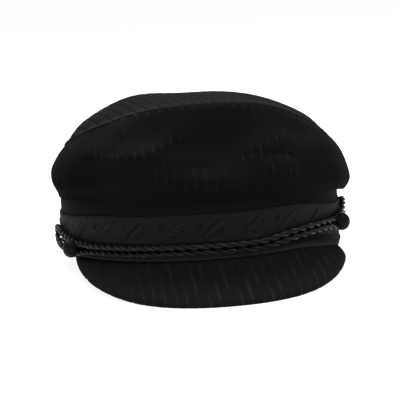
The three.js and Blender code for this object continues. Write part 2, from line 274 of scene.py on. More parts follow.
# %% [markdown]
# The crown is two cloth shapes: a side wall and a top panel, sewn together along an oval seam. A few sections
# round the hat give its shape. Each section runs from the hem on the band, over the soft roll that hangs
# down outside it, up the wall to the seam, and over the top to the middle. Smooth curves join the sections.

# %% Sections of the crown
CLOTH = 1.8
HEM_RADIUS = BAND_RADIUS + 0.45
HEM_INNER_RADIUS = BAND_RADIUS - 2.7
HEM_LAP = 0.45
HEM_SLOPE = 6
DOUBLED_INSET = 1.1
DOUBLED_RISE = 1.8
DOUBLED_CLEARANCE = 2
TOP_HEIGHT = 100
SEAM_STATION = 5
SECTION_STEP = 30
PLACE_STEP = 0.02

CROWN_SECTIONS = np.array([
    # fold       bulge        roll          hollow       seam         dome        tip
    [[101, 37], [106, 43], [107.5, 48], [106.5, 52], [104, 56], [84, 77], [44, 94.5]],
    [[100, 38], [105, 45], [106.5, 50], [105, 54.5], [102, 58.5], [83, 79], [44, 96]],
    [[98, 38], [103, 46], [103.5, 52], [101.5, 57], [97, 64], [80, 82.5], [43, 98]],
    [[96, 39.5], [99.3, 47], [98.8, 55.5], [93.6, 63.8], [84.6, 73.8], [71, 87.5], [41, 100.3]],
    [[98, 42], [102.5, 51], [97, 64], [88, 74.5], [76.5, 84], [63, 93], [40, 100.2]],
    [[99, 43.5], [104.5, 52], [97.5, 67], [87, 77], [73.5, 92.8], [59, 97], [40, 99.6]],
    [[99, 42], [105, 50], [98.5, 59], [88, 71], [72, 95], [58, 98], [40, 99.4]],
    [[99, 38], [105, 46.5], [98, 64], [87.5, 76], [76.5, 91.7], [60, 95.6], [40, 98]],
    [[98.5, 33], [104.5, 41], [100, 58], [92.5, 69], [84, 76.5], [66, 88], [40, 97]],
    [[98.5, 28], [102.6, 34.8], [102, 43], [99.3, 51.5], [94.7, 58], [77.5, 79], [41, 95.5]],
    [[99.5, 33], [103.5, 39], [104, 44], [103, 49], [99.5, 54], [81, 76], [43, 94.5]],
    [[101, 35], [106, 41], [107, 45.5], [106, 49], [103.5, 53], [83, 75], [44, 93.5]],
])


def smooth(before, start, end, after, share):
    """A smooth value between two rows of a table, with the rows before and after giving the slopes."""
    second = (2 * before - 5 * start + 4 * end - after) * share * share
    third = (3 * start - before - 3 * end + after) * share * share * share
    return (2 * start + (end - before) * share + second + third) / 2


def crown_outline(at):
    """The [radius, height] stations at each angle, from the hem to the middle of the top."""
    turn = (at + 180) % 360 / SECTION_STEP
    row = np.floor(turn).astype(int)
    share = (turn - row)[:, None, None]
    near = [CROWN_SECTIONS[(row + k) % len(CROWN_SECTIONS)] for k in (-1, 0, 1, 2)]
    hem = np.full((len(at), 1, 2), [HEM_RADIUS, BAND_HEIGHT + GAP - HEM_LAP])
    middle = np.full((len(at), 1, 2), [0, TOP_HEIGHT])
    return np.concatenate([hem, smooth(*near, share), middle], 1)


def along(outline, place):
    """Points along outlines, between their stations."""
    place = np.broadcast_to(place, len(outline))
    first = outline[:, :1] - [HEM_SLOPE, 0]
    last = outline[:, -2:-1] * [-1, 1]
    padded = np.concatenate([first, outline, last], 1)
    station = np.minimum(np.floor(place), outline.shape[1] - 2).astype(int)
    every = np.arange(len(outline))
    near = [padded[every, station + k] for k in range(4)]
    return smooth(*near, (place - station)[:, None])


def outline_normal(outline, place):
    """The outward [radius, height] direction of outlines at a place."""
    before = along(outline, np.maximum(np.asarray(place) - PLACE_STEP, 0))
    after = along(outline, np.minimum(np.asarray(place) + PLACE_STEP, outline.shape[1] - 1))
    run = after - before
    run = run / np.linalg.norm(run, axis=1, keepdims=True)
    return np.stack([run[:, 1], -run[:, 0]], -1)


def crown_point(at, flat):
    """[radius, height] at each angle as points of the hat, spread to the band's oval."""
    turn = np.radians(at)
    x = flat[..., 0] * np.sin(turn) * BAND_HALF_WIDTH / BAND_RADIUS
    y = -flat[..., 0] * np.cos(turn) * BAND_HALF_DEPTH / BAND_RADIUS
    return np.stack([x, y, flat[..., 1]], -1)


print("the crown has", len(CROWN_SECTIONS), "sections")

# %% [markdown]
# The front of the crown has slumped. Broad soft hills and one dent are set by where they are, how long and
# wide they are, which way they turn and how far they lift the cloth. Sharper folds follow a line across the
# cloth: a fold rises to a soft crest along its line, falls away faster on one side, and leaves a pocket
# there. The cloth is bent along each crest, so its grooves open there.

# %% Folds of the front
CROWN_FOLDS = [
    # at, height, half length, half width, turn, lift
    [-20, 72, 20, 7, 38, 1.4],
    [-48, 76, 22, 7, 24, 0.9],
    [20, 69, 16, 7, 24, 1.4],
    [3, 70, 18, 12, -20, -3],
    [-6, 59, 10, 5, 0, -2],
    [24, 56, 15, 8, -10, 1.6],
]
FOLD_LINES = [
    # rise, reach above, reach below, pocket (above the line if negative), line of at and height
    [0.4, 9, 4.0, 0.1, [[-60, 68], [-50, 71], [-44, 74], [-40, 78], [-34, 84]]],
    [0.9, 9, 3.6, 0.4, [[-42, 65], [-33, 66], [-28, 67], [-22, 70], [-17, 73.5], [-11, 77.7], [-6, 80]]],
    [0.9, 9, 3.6, 0.4, [[5, 62], [8, 63.4], [14, 65.7], [19, 68.4], [28.5, 72.6], [36, 75]]],
    [0.4, 2.0, 1.4, 0.2, [[-58, 68.5], [-45.5, 67], [-39, 65.7], [-34, 66.5], [-27.5, 66.4], [-19, 67]]],
    [-0.8, 1.5, 2.2, 0, [
        [5, 61], [9, 63.5], [14, 64], [19.5, 63.8], [24, 63.6], [28, 62.3], [31, 59.4], [33, 54],
    ]],
    [0.5, 1.4, 8, -0.2, [[-12, 57.8], [-9, 58.5], [-5, 58.2], [-1, 57.3]]],
    [1.2, 6, 8, 0, [[14, 55], [20, 54.5], [26, 52], [32, 48]]],
]
FOLD_END = 0.22
CREST_HALF_WIDTH = 2.4
POCKET_AWAY = 2.1
POCKET_HALF_WIDTH = 1.3


def line_places(across, up, line):
    """How far places are from a line, positive above it, and how far along the line they are, from 0 to 1."""
    lengths = [math.dist(a, b) for a, b in zip(line, line[1:])]
    nearest = np.full(across.shape, np.inf)
    signed = np.zeros(across.shape)
    share = np.zeros(across.shape)
    before = 0
    for (x0, y0), (x1, y1), length in zip(line, line[1:], lengths):
        dx, dy = (x1 - x0) / length, (y1 - y0) / length
        run = np.clip((across - x0) * dx + (up - y0) * dy, 0, length)
        distance = np.hypot(across - x0 - run * dx, up - y0 - run * dy)
        side = np.where(dx * (up - y0) > dy * (across - x0), 1, -1)
        near = distance < nearest
        nearest = np.where(near, distance, nearest)
        signed = np.where(near, side * distance, signed)
        share = np.where(near, (before + run) / sum(lengths), share)
        before += length
    return signed, share


def bump_along(signed, rise, above, below, pocket):
    """A fold's cross outline: a crest with its own reach on each side, and a pocket beside it."""
    reach = np.where(signed > 0, above, below)
    crest = rise * np.exp(-((signed / reach) ** 2))
    side = -1 if pocket >= 0 else 1
    near = below if pocket >= 0 else above
    from_pocket = (signed - side * POCKET_AWAY * near) / (POCKET_HALF_WIDTH * near)
    return crest - abs(pocket * rise) * np.exp(-(from_pocket ** 2))


def cloth_lift(at, height):
    """How far the folds lift the cloth in millimetres, and how bent it is, from 0 to 1."""
    at, height = np.broadcast_arrays(at, height)
    lift = np.zeros(at.shape)
    bent = np.zeros(at.shape)
    for fold_at, fold_height, half_length, half_width, turn, rise in CROWN_FOLDS:
        across = np.radians(at - fold_at) * BAND_RADIUS
        up = height - fold_height
        ahead, aside = math.cos(math.radians(turn)), math.sin(math.radians(turn))
        length = (ahead * across + aside * up) / half_length
        width = (ahead * up - aside * across) / half_width
        lift += rise * np.exp(-length * length - width * width)
    for rise, above, below, pocket, line in FOLD_LINES:
        places = [(math.radians(a) * BAND_RADIUS, h) for a, h in line]
        signed, share = line_places(np.radians(at) * BAND_RADIUS, height, places)
        ends = step_up(np.minimum(share, 1 - share), 0, FOLD_END)
        lift += ends * bump_along(signed, rise, above, below, pocket)
        bent = np.maximum(bent, ends * np.exp(-((signed / CREST_HALF_WIDTH) ** 2)))
    return lift, bent


# %% [markdown]
# The side wall is one closed shell: the pile side goes up from the hem to the seam, turns in over a small
# roll where it is sewn, and the plain back of the cloth comes down inside. So it is a grid whose rows go
# round the hat, and whose columns go up the pile side and down the plain side. These helpers give the rows.

# %% Rows of the side wall
SPAN_ROWS = (5, 8, 16, 14)
ROWS_BELOW_SEAM = 15
ROLL_TURNS = np.radians([0, 20, 42, 66, 90])
INNER_PLACES = (4.6, 4.2, 3.8, 3.4, 3, 2.6, 2.3, 2, 1.7, 1.4, 1, 0.5, 0)
EDGE_ROLL = 0.22
EDGE_ROLL_START = 0.3
SEAM_GAP = 0.03
FOLDS_FROM = (0.6, 1.2)


def seam_frame(outline):
    """The seam's point, its direction up the cloth and its outward direction, at each angle."""
    seam = along(outline, SEAM_STATION)
    normal = outline_normal(outline, SEAM_STATION)
    up = np.stack([-normal[:, 1], normal[:, 0]], -1)
    return seam, up, normal


def side_outer_rows(at, outline):
    """The pile side's rows from the hem to the seam's inner edge, the place of each, and how bent it is."""
    seam, up, normal = seam_frame(outline)
    wall = np.linalg.norm(seam - along(outline, SEAM_STATION - 1), axis=1)
    last = 1 - (EDGE_ROLL + EDGE_ROLL_START) / wall
    steps = [np.linspace(span, span + 1, rows, endpoint=False) for span, rows in enumerate(SPAN_ROWS)]
    places = [np.full(len(at), place) for place in np.concatenate(steps)]
    places += [len(SPAN_ROWS) + last * share for share in np.linspace(0, 1, ROWS_BELOW_SEAM)]
    rows, bends = [], []
    for place in places:
        flat = along(outline, place)
        lift, bent = cloth_lift(at, flat[:, 1])
        lift = lift * step_up(place, *FOLDS_FROM)
        rows.append(flat + outline_normal(outline, place) * lift[:, None])
        bends.append(bent)
    for turn in ROLL_TURNS:
        middle = seam - up * (EDGE_ROLL + SEAM_GAP)
        rows.append(middle + EDGE_ROLL * (up * math.sin(turn) + normal * (math.cos(turn) - 1)))
        places.append(np.full(len(at), SEAM_STATION))
        bends.append(np.full(len(at), 1.0))
    return np.array(rows), np.array(places), np.array(bends)


def side_inner_rows(at, outline):
    """The plain side's rows from the seam down to the hem."""
    seam, up, normal = seam_frame(outline)
    rows = [seam - up * SEAM_GAP - normal * CLOTH]
    fold = along(outline, 1)
    lowest = np.maximum(fold[:, 1] + DOUBLED_RISE, BAND_HEIGHT + DOUBLED_CLEARANCE)
    for place in INNER_PLACES:
        flat = along(outline, place)
        lift, _ = cloth_lift(at, flat[:, 1])
        inward = lift * step_up(place, *FOLDS_FROM) - CLOTH
        inner = flat + outline_normal(outline, place) * inward[:, None]
        if place <= 1:
            inner[:, 0] = HEM_INNER_RADIUS + (fold[:, 0] - DOUBLED_INSET - HEM_INNER_RADIUS) * place
            inner[:, 1] = BAND_HEIGHT + GAP + (lowest - BAND_HEIGHT - GAP) * place
        elif place <= 2:
            straight = fold[:, 0] - DOUBLED_INSET
            inner[:, 0] = straight + (inner[:, 0] - straight) * (place - 1)
        if place > 1:
            inner[:, 1] = np.maximum(inner[:, 1], lowest + place - 1)
        rows.append(inner)
    return np.array(rows)


print("the side wall has", sum(SPAN_ROWS) + ROWS_BELOW_SEAM + len(ROLL_TURNS), "rows on its pile side")

# %% [markdown]
# Where the cloth bends or is pulled, the bare ground shows pale between the wales, in uneven patches. The
# folds give most of these places, and a short table of ledges gives the rest. The hat also gets painted shade
# at its sides, on the left more than on the right. The studio lights it evenly from all round, so this
# painted shade is a number on the cloth itself, and it is the same from wherever the hat is seen.

# %% Open grooves and painted shade on the sides
CLOSED_GROOVE = 0.05
STEADY_GROOVE = 0.2
PATCH_MIDDLE = 0.55
PATCHES = (0.8, 15, 4)
LEDGES = [
    # at, height, half length in degrees, half height, strength
    [-18.5, 57, 5, 10, 0.8],
    [-5, 49, 13, 7, 0.7],
    [-30, 84, 4, 6, 0.35],
    [-5, 88, 3, 6, 0.3],
    [6, 85, 3, 7, 0.45],
    [18, 86, 5, 6, 0.4],
]
# How strong the painted shade is on each side of the hat.
LEFT_SHADE = 0.9
RIGHT_SHADE = 0.3
SHADE_FROM = (34, 72)
SHADE_TO = (90, 140)


def side_share(at):
    """How far a place round the hat is at its sides, from 0 in front and at the back to 1."""
    return step_up(np.abs(at), *SHADE_FROM) * (1 - step_up(np.abs(at), *SHADE_TO))


def open_grooves(bent, across, up):
    """How far the pile shows its grooves, from nearly closed on flat cloth to 1 where the cloth bends."""
    patchy = np.clip(PATCH_MIDDLE + ripple(across, 2 * up, *PATCHES), 0, 1)
    opened = np.clip(bent * (STEADY_GROOVE + (1 - STEADY_GROOVE) * patchy), 0, 1)
    return CLOSED_GROOVE + (1 - CLOSED_GROOVE) * opened


def ledge_share(at, up):
    """How far a place is on one of the ledges, from 0 to 1."""
    ledge = np.zeros(up.shape)
    for ledge_at, ledge_height, half_length, half_height, strength in LEDGES:
        away = ((at - ledge_at) / half_length) ** 2 + ((up - ledge_height) / half_height) ** 2
        ledge = np.maximum(ledge, strength * np.exp(-away))
    return ledge


print("at 60 degrees the dark side is at", round(float(side_share(60)), 2), "of its full shade")

# %% [markdown]
# The side wall is cut as a front and a back panel that meet in a seam over each temple. The wales of a panel
# stay parallel, because they are woven, so they are counted from the panel's middle in millimetres of cloth
# and not in degrees. The pile is crushed low in front, and stands fuller at the back.

# %% Side wall
SIDE_COLUMNS = 1056
WALE_PHASE = 1.0
WALE_WANDER = (0.35, 70, 1)
WALE_EVENNESS = 0.88
WALE_UNEVENNESS = (0.12, 38, 2)
FRONT_WALE = 0.16
SIDE_WALE = 0.28
SIDE_WALE_FROM = (45, 80)
BACK_WALE = 0.8
BACK_WALE_FROM = (80, 105)
BACK_OPEN = 0.4
OPEN_WALE = 0.35
HEM_WALE = 0.25
FULL_WALE_FROM = 0.9
PANEL_SEAM_AT = 90
PANEL_SEAM_HALF_WIDTH = 0.9
PANEL_SEAM_DEPTH = 0.9
PANEL_SEAM_PALENESS = 0.5
SEAM_PAINTED_LIGHT = 0.8
SEAM_LIGHT_FROM = 4.85
SIDE_SLUMP = (0.7, 46, 3)
SLUMP_ENDS_OVER = 0.8
UV_PER_DEGREE = 0.165
UV_PER_ROW = 0.12


def surface_normals(grid):
    """Outward directions of a grid of points that is closed along its columns."""
    ahead = np.roll(grid, -1, 1) - np.roll(grid, 1, 1)
    up = np.gradient(grid, axis=0)
    normal = np.cross(ahead, up)
    return normal / np.linalg.norm(normal, axis=2, keepdims=True)


def make_crown_side():
    at = np.linspace(-180, 180, SIDE_COLUMNS, endpoint=False)
    outline = crown_outline(at)
    outer, places, bent = side_outer_rows(at, outline)
    inner = side_inner_rows(at, outline)
    face = crown_point(at, outer)
    normal = surface_normals(face)
    front = np.abs(at) < PANEL_SEAM_AT
    from_middle = np.where(front, at, (at + 360) % 360 - 180)
    across = np.radians(from_middle) * outer[..., 0]
    up = outer[..., 1]
    wale = (across + WALE_PHASE + ripple(across, up, *WALE_WANDER)) / WALE_PITCH
    backwards = step_up(np.abs(at), *BACK_WALE_FROM)
    bent = np.maximum(np.maximum(bent, ledge_share(at, up)), BACK_OPEN * backwards)
    opened = open_grooves(bent, across, up)
    height = FRONT_WALE + (SIDE_WALE - FRONT_WALE) * step_up(np.abs(at), *SIDE_WALE_FROM)
    height = height + (BACK_WALE - SIDE_WALE) * backwards + OPEN_WALE * opened
    height = height * (WALE_EVENNESS + ripple(across, up, *WALE_UNEVENNESS))
    height = height * np.clip(places / FULL_WALE_FROM, HEM_WALE, 1)
    from_seam = np.radians(np.abs(np.abs(at) - PANEL_SEAM_AT)) * outer[..., 0]
    seam_dip = np.exp(-((from_seam / PANEL_SEAM_HALF_WIDTH) ** 2)) * np.clip(places, 0, 1)
    relief = wale_relief(wale, height) * (1 - seam_dip) - PANEL_SEAM_DEPTH * seam_dip
    slump = ripple(across, up, *SIDE_SLUMP) * np.clip(places - 1, 0, 1)
    slump = slump * np.clip((SEAM_STATION - places) / SLUMP_ENDS_OVER, 0, 1)
    face = face + normal * (relief + slump)[..., None]
    grid = np.concatenate([face, crown_point(at, inner)])
    grid = np.concatenate([grid, grid[:, :1]], 1)
    grid = np.concatenate([grid, grid[:1]])
    ground_and_painted_light = np.zeros(grid.shape[:2])
    ground_and_painted_light[:len(face), :-1] = np.maximum(groove(wale) * opened, seam_dip * PANEL_SEAM_PALENESS)
    # Painted light on the seam roll and the rows just under it, where the seam lies in shade.
    ground_and_painted_light[:len(face), :-1] += SEAM_PAINTED_LIGHT * step_up(places, SEAM_LIGHT_FROM, SEAM_STATION)
    ground_and_painted_light[:, -1] = ground_and_painted_light[:, 0]
    shaded = np.zeros(grid.shape[:2])
    # Painted shade on the crown's sides, more on the left than on the right.
    shaded[:len(face), :-1] = np.where(at < 0, LEFT_SHADE, RIGHT_SHADE) * side_share(at)
    shaded[:, -1] = shaded[:, 0]
    uv = np.zeros(grid.shape[:2] + (2,))
    uv[..., 0] = np.linspace(-180, 180, SIDE_COLUMNS + 1) * UV_PER_DEGREE
    uv[..., 1] = np.arange(len(grid))[:, None] * UV_PER_ROW
    back = range(len(face) - 1, len(grid) - 1)
    return sewn_grid("crown_side", grid, uv, {"groove": ground_and_painted_light, "shaded": shaded}, back)


crown_side = make_crown_side()

# %% [markdown]
# The top panel is one oval of cloth that slopes down to the back. Its grid has one column of vertices along
# each line from front to back, ten to a wale, so every wale is as round as its neighbours. The columns get
# shorter towards the sides, where the oval ends. These helpers find the panel's height over a place in plan,
# where its columns lie, and the roll along its edge.

# %% Shape of the top panel
TOP_COLUMN_WIDTH = 0.62
TOP_END_COLUMNS = np.array([0.03, 0.12, 0.4])
TOP_EDGE_ROLL = 0.5
TOP_LAP = 0.1
TOP_SLOPE_STEP = 0.4
MIDDLE_STEPS = 1500
SEAM_STEPS = 3600
PLACES_TO_TRY = np.linspace(SEAM_STATION - 0.2, 8, 90)


def top_height(x, y):
    """The height of the top panel over each place in plan."""
    at = np.degrees(np.arctan2(x / BAND_HALF_WIDTH, -y / BAND_HALF_DEPTH))
    radius = np.hypot(x * BAND_RADIUS / BAND_HALF_WIDTH, y * BAND_RADIUS / BAND_HALF_DEPTH)
    outline = crown_outline(at)
    tried = np.stack([along(outline, place)[:, 0] for place in PLACES_TO_TRY], 1)
    after = np.clip((tried > radius[:, None]).sum(1), 1, len(PLACES_TO_TRY) - 1)
    every = np.arange(len(x))
    wide, narrow = tried[every, after - 1], tried[every, after]
    share = np.clip((wide - radius) / (wide - narrow), 0, 1)
    step = PLACES_TO_TRY[1] - PLACES_TO_TRY[0]
    return along(outline, PLACES_TO_TRY[after - 1] + share * step)[:, 1]


def top_normal(x, y):
    """The outward direction of the top panel over each place in plan."""
    step = TOP_SLOPE_STEP
    slope_x = (top_height(x + step, y) - top_height(x - step, y)) / (2 * step)
    slope_y = (top_height(x, y + step) - top_height(x, y - step)) / (2 * step)
    normal = np.stack([-slope_x, -slope_y, np.ones(len(x))], -1)
    return normal / np.linalg.norm(normal, axis=1, keepdims=True)


def top_columns(edge_x):
    """Where the columns lie: at even steps of cloth across the panel, and closer at its two ends."""
    x = np.linspace(edge_x.min(), edge_x.max(), MIDDLE_STEPS)
    height = top_height(x, np.zeros(len(x)))
    cloth = np.concatenate([[0], np.cumsum(np.hypot(np.diff(x), np.diff(height)))])
    cloth = cloth - np.interp(0, x, cloth)
    places = np.arange(cloth[0], cloth[-1], TOP_COLUMN_WIDTH)
    ends = TOP_COLUMN_WIDTH * TOP_END_COLUMNS
    places = np.sort(np.concatenate([places, cloth[0] + ends, cloth[-1] - ends, cloth[-1:]]))
    return np.interp(places, cloth, x), places


def edge_rows(at, outward):
    """The seam roll of the top panel at each angle, from its inner edge up to the face, or back down."""
    outline = crown_outline(at)
    seam, up, normal = seam_frame(outline)
    middle = seam + up * (TOP_EDGE_ROLL + SEAM_GAP) + normal * TOP_LAP
    turns = ROLL_TURNS[:0:-1]
    rows, normals = [], []
    for turn in turns if outward else turns[::-1]:
        flat = middle + TOP_EDGE_ROLL * (normal * (math.cos(turn) - 1) - up * math.sin(turn))
        rows.append(crown_point(at, flat))
        normals.append(crown_point(at, normal * math.cos(turn) - up * math.sin(turn)))
    return np.array(rows), np.array(normals)


def column_ends():
    """Each column's place across, its cloth from the middle, and its front and back ends: angle and y."""
    at = np.linspace(-180, 180, SEAM_STEPS, endpoint=False)
    seam, up, _ = seam_frame(crown_outline(at))
    edge = crown_point(at, seam + up * (TOP_EDGE_ROLL + SEAM_GAP))
    left, right = np.argmin(edge[:, 0]), np.argmax(edge[:, 0])
    x, cloth = top_columns(edge[:, 0])
    front_at = np.interp(x, edge[left:right + 1, 0], at[left:right + 1])
    behind = np.arange(right, left + len(at) + 1)
    behind_at = at[behind % len(at)] + 360 * (behind >= len(at))
    behind_x = edge[behind % len(at), 0]
    back_at = np.interp(x, behind_x[::-1], behind_at[::-1])
    front_y = np.interp(front_at, at, edge[:, 1])
    back_y = np.interp((back_at + 180) % 360 - 180, at, edge[:, 1])
    return x, cloth, front_at, front_y, back_at, back_y


print("the top panel has", len(column_ends()[0]), "columns")

# %% [markdown]
# The wales of the top panel run from front to back, a little turned. The pile stands full here. The cloth
# puffs up beside the seam, where the stitches pull it down, and the tops of its wales there get painted
# light.

# %% Top panel
TOP_ROWS = 76
TOP_EVEN_SHARE = 0.35
TOP_BACK_EVERY = 7
TOP_GRAIN_TURN = math.radians(13)
TOP_WALE = 1.3
TOP_UNEVENNESS = (0.15, 42, 6)
TOP_WANDER = (0.3, 80, 5)
TOP_OPEN = 0.75
TOP_SLUMP = (0.2, 60, 7)
TOP_SLUMP_REACH = 70
TOP_EDGE_PUFF = 0.8
TOP_PUFF_REACH = 3.5
TOP_PANEL_EDGE_PAINTED_LIGHT = 0.5


def make_crown_top():
    x, cloth, front_at, front_y, back_at, back_y = column_ends()
    even = np.linspace(0, 1, TOP_ROWS)[:, None]
    share = TOP_EVEN_SHARE * even + (1 - TOP_EVEN_SHARE) * (1 - np.cos(math.pi * even)) / 2
    y = front_y + (back_y - front_y) * share
    plan_x = np.broadcast_to(x, y.shape)
    height = top_height(plan_x.ravel(), y.ravel()).reshape(y.shape)
    normal = top_normal(plan_x.ravel(), y.ravel()).reshape(y.shape + (3,))
    face = np.stack([plan_x, y, height], -1)
    front_rows, front_normals = edge_rows(front_at, True)
    back_rows, back_normals = edge_rows(back_at, False)
    outer = np.concatenate([front_rows, face, back_rows])
    normals = np.concatenate([front_normals, normal, back_normals])
    turned = cloth * math.cos(TOP_GRAIN_TURN) + outer[..., 1] * math.sin(TOP_GRAIN_TURN)
    wale = (turned + ripple(cloth, outer[..., 1], *TOP_WANDER)) / WALE_PITCH
    wale_height = TOP_WALE + ripple(cloth, outer[..., 1], *TOP_UNEVENNESS)
    to_edge = np.minimum(outer[..., 1] - front_y, back_y - outer[..., 1]).clip(0)
    near_edge = np.exp(-((to_edge / TOP_PUFF_REACH) ** 2))
    outwards = np.clip(np.hypot(outer[..., 0], outer[..., 1]) / TOP_SLUMP_REACH, 0, 1)
    slump = ripple(outer[..., 0], outer[..., 1], *TOP_SLUMP) * (1 - outwards ** 4)
    relief = wale_relief(wale, wale_height) + slump + TOP_EDGE_PUFF * near_edge
    outer = outer + normals * relief[..., None]
    opened = open_grooves(TOP_OPEN, outer[..., 0], outer[..., 1])
    # Painted light on the wale tops beside the seam.
    painted_edge_light = TOP_PANEL_EDGE_PAINTED_LIGHT * near_edge * (1 - groove(wale))
    inner = (face - normal * CLOTH)[::-1][::TOP_BACK_EVERY]
    grid = np.concatenate([outer, inner, outer[:1]])
    ground_and_painted_light = np.zeros(grid.shape[:2])
    ground_and_painted_light[:len(outer)] = np.maximum(groove(wale) * opened, painted_edge_light)
    ground_and_painted_light[-1] = ground_and_painted_light[0]
    uv = np.zeros(grid.shape[:2] + (2,))
    uv[..., 0] = cloth / UV_UNIT
    uv[..., 1] = grid[..., 1] / UV_UNIT
    plain = range(len(outer) - 1, len(grid) - 1)
    return sewn_grid("crown_top", grid, uv, {"groove": ground_and_painted_light}, plain)


crown_top = make_crown_top()

# %% [markdown]
# The peak is a stiff board covered in the same corduroy. Its edge is a rounded outline in plan, and it slopes
# down and out from the band. So one helper draws the outline, and one gives the height over a place in plan.

# %% Shape of the peak
PEAK_HALF_WIDTH = 87
PEAK_REACH = 48.5
PEAK_CORNER = 35
PEAK_ROUNDNESS = 2.2
PEAK_DROP = math.radians(19.4)
PEAK_SIDE_BEND = 0.5
PEAK_BEND_REACH = 20
PEAK_JOIN_HEIGHT = 1.7


def peak_edge(turn):
    """The peak's outer edge in plan, from the left corner at -90 degrees to the right one at 90."""
    aside = np.sin(turn)
    ahead = np.maximum(np.cos(turn), 0)
    power = 2 / PEAK_ROUNDNESS
    front = BAND_HALF_DEPTH + PEAK_REACH - PEAK_CORNER
    x = PEAK_HALF_WIDTH * np.sign(aside) * np.abs(aside) ** power
    return np.stack([x, -PEAK_CORNER - front * ahead ** power], -1)


def peak_height(x, y):
    """The height of the peak's upper face."""
    out = np.maximum(np.hypot(x / BAND_HALF_WIDTH, y / BAND_HALF_DEPTH) - 1, 0) * BAND_HALF_DEPTH
    bend = PEAK_SIDE_BEND * (x / PEAK_HALF_WIDTH) ** 2 * np.minimum(out / PEAK_BEND_REACH, 1)
    at = np.degrees(np.arctan2(x / BAND_HALF_WIDTH, -y / BAND_HALF_DEPTH))
    sag = rim_sag(at) * (1 - step_up(out, 0, PEAK_SAG_REACH))
    return PEAK_JOIN_HEIGHT - out * math.tan(PEAK_DROP) - bend - sag


print("the peak's front edge is at height", round(float(peak_height(0, peak_edge(0)[1])), 1), "mm")

# %% [markdown]
# The cloth of the peak has its wales from the band to the edge. It wraps round the edge, so each groove makes
# a small notch there. Its pile is paler than the crown's all over, and it is worn, so its grooves show more
# in some places than in others. Near the band, where the crown and the cord shade it, it gets painted light.

# %% Peak
PEAK_THICK = 4
PEAK_JOIN_OFF = 0.1
PEAK_CORNER_LENGTH = 1.5
PEAK_TAPER_FROM = 80
PEAK_COLUMNS = 480
PEAK_ROWS = 40
PEAK_UNDER_ROWS = 14
PEAK_EDGE_TURNS = np.radians([22, 45, 67, 90, 113, 135, 158])
PEAK_FACES_DOWN = -0.2
PEAK_WALE_PHASE = 1.5
PEAK_WALE = 0.42
PEAK_UNEVENNESS = (0.08, 40, 9)
PEAK_WANDER = (0.25, 90, 8)
PEAK_WOBBLE = (0.3, 17, 13)
PEAK_WALES_FROM = (0.5, 5)
PEAK_PALENESS = 0.31
PEAK_PAINTED_LIGHT_AT_BAND = 0.1
PEAK_PAINTED_LIGHT_OVER = (4, 40)
PEAK_GROOVES_FROM = (1, 7)
PEAK_WORN_MIDDLE = 0.5
PEAK_WORN = (0.9, 31, 10)
PEAK_LEAST_WORN = 0.15
PEAK_LEFT_WORN = 0.3
PEAK_LEFT = (-62, -42)


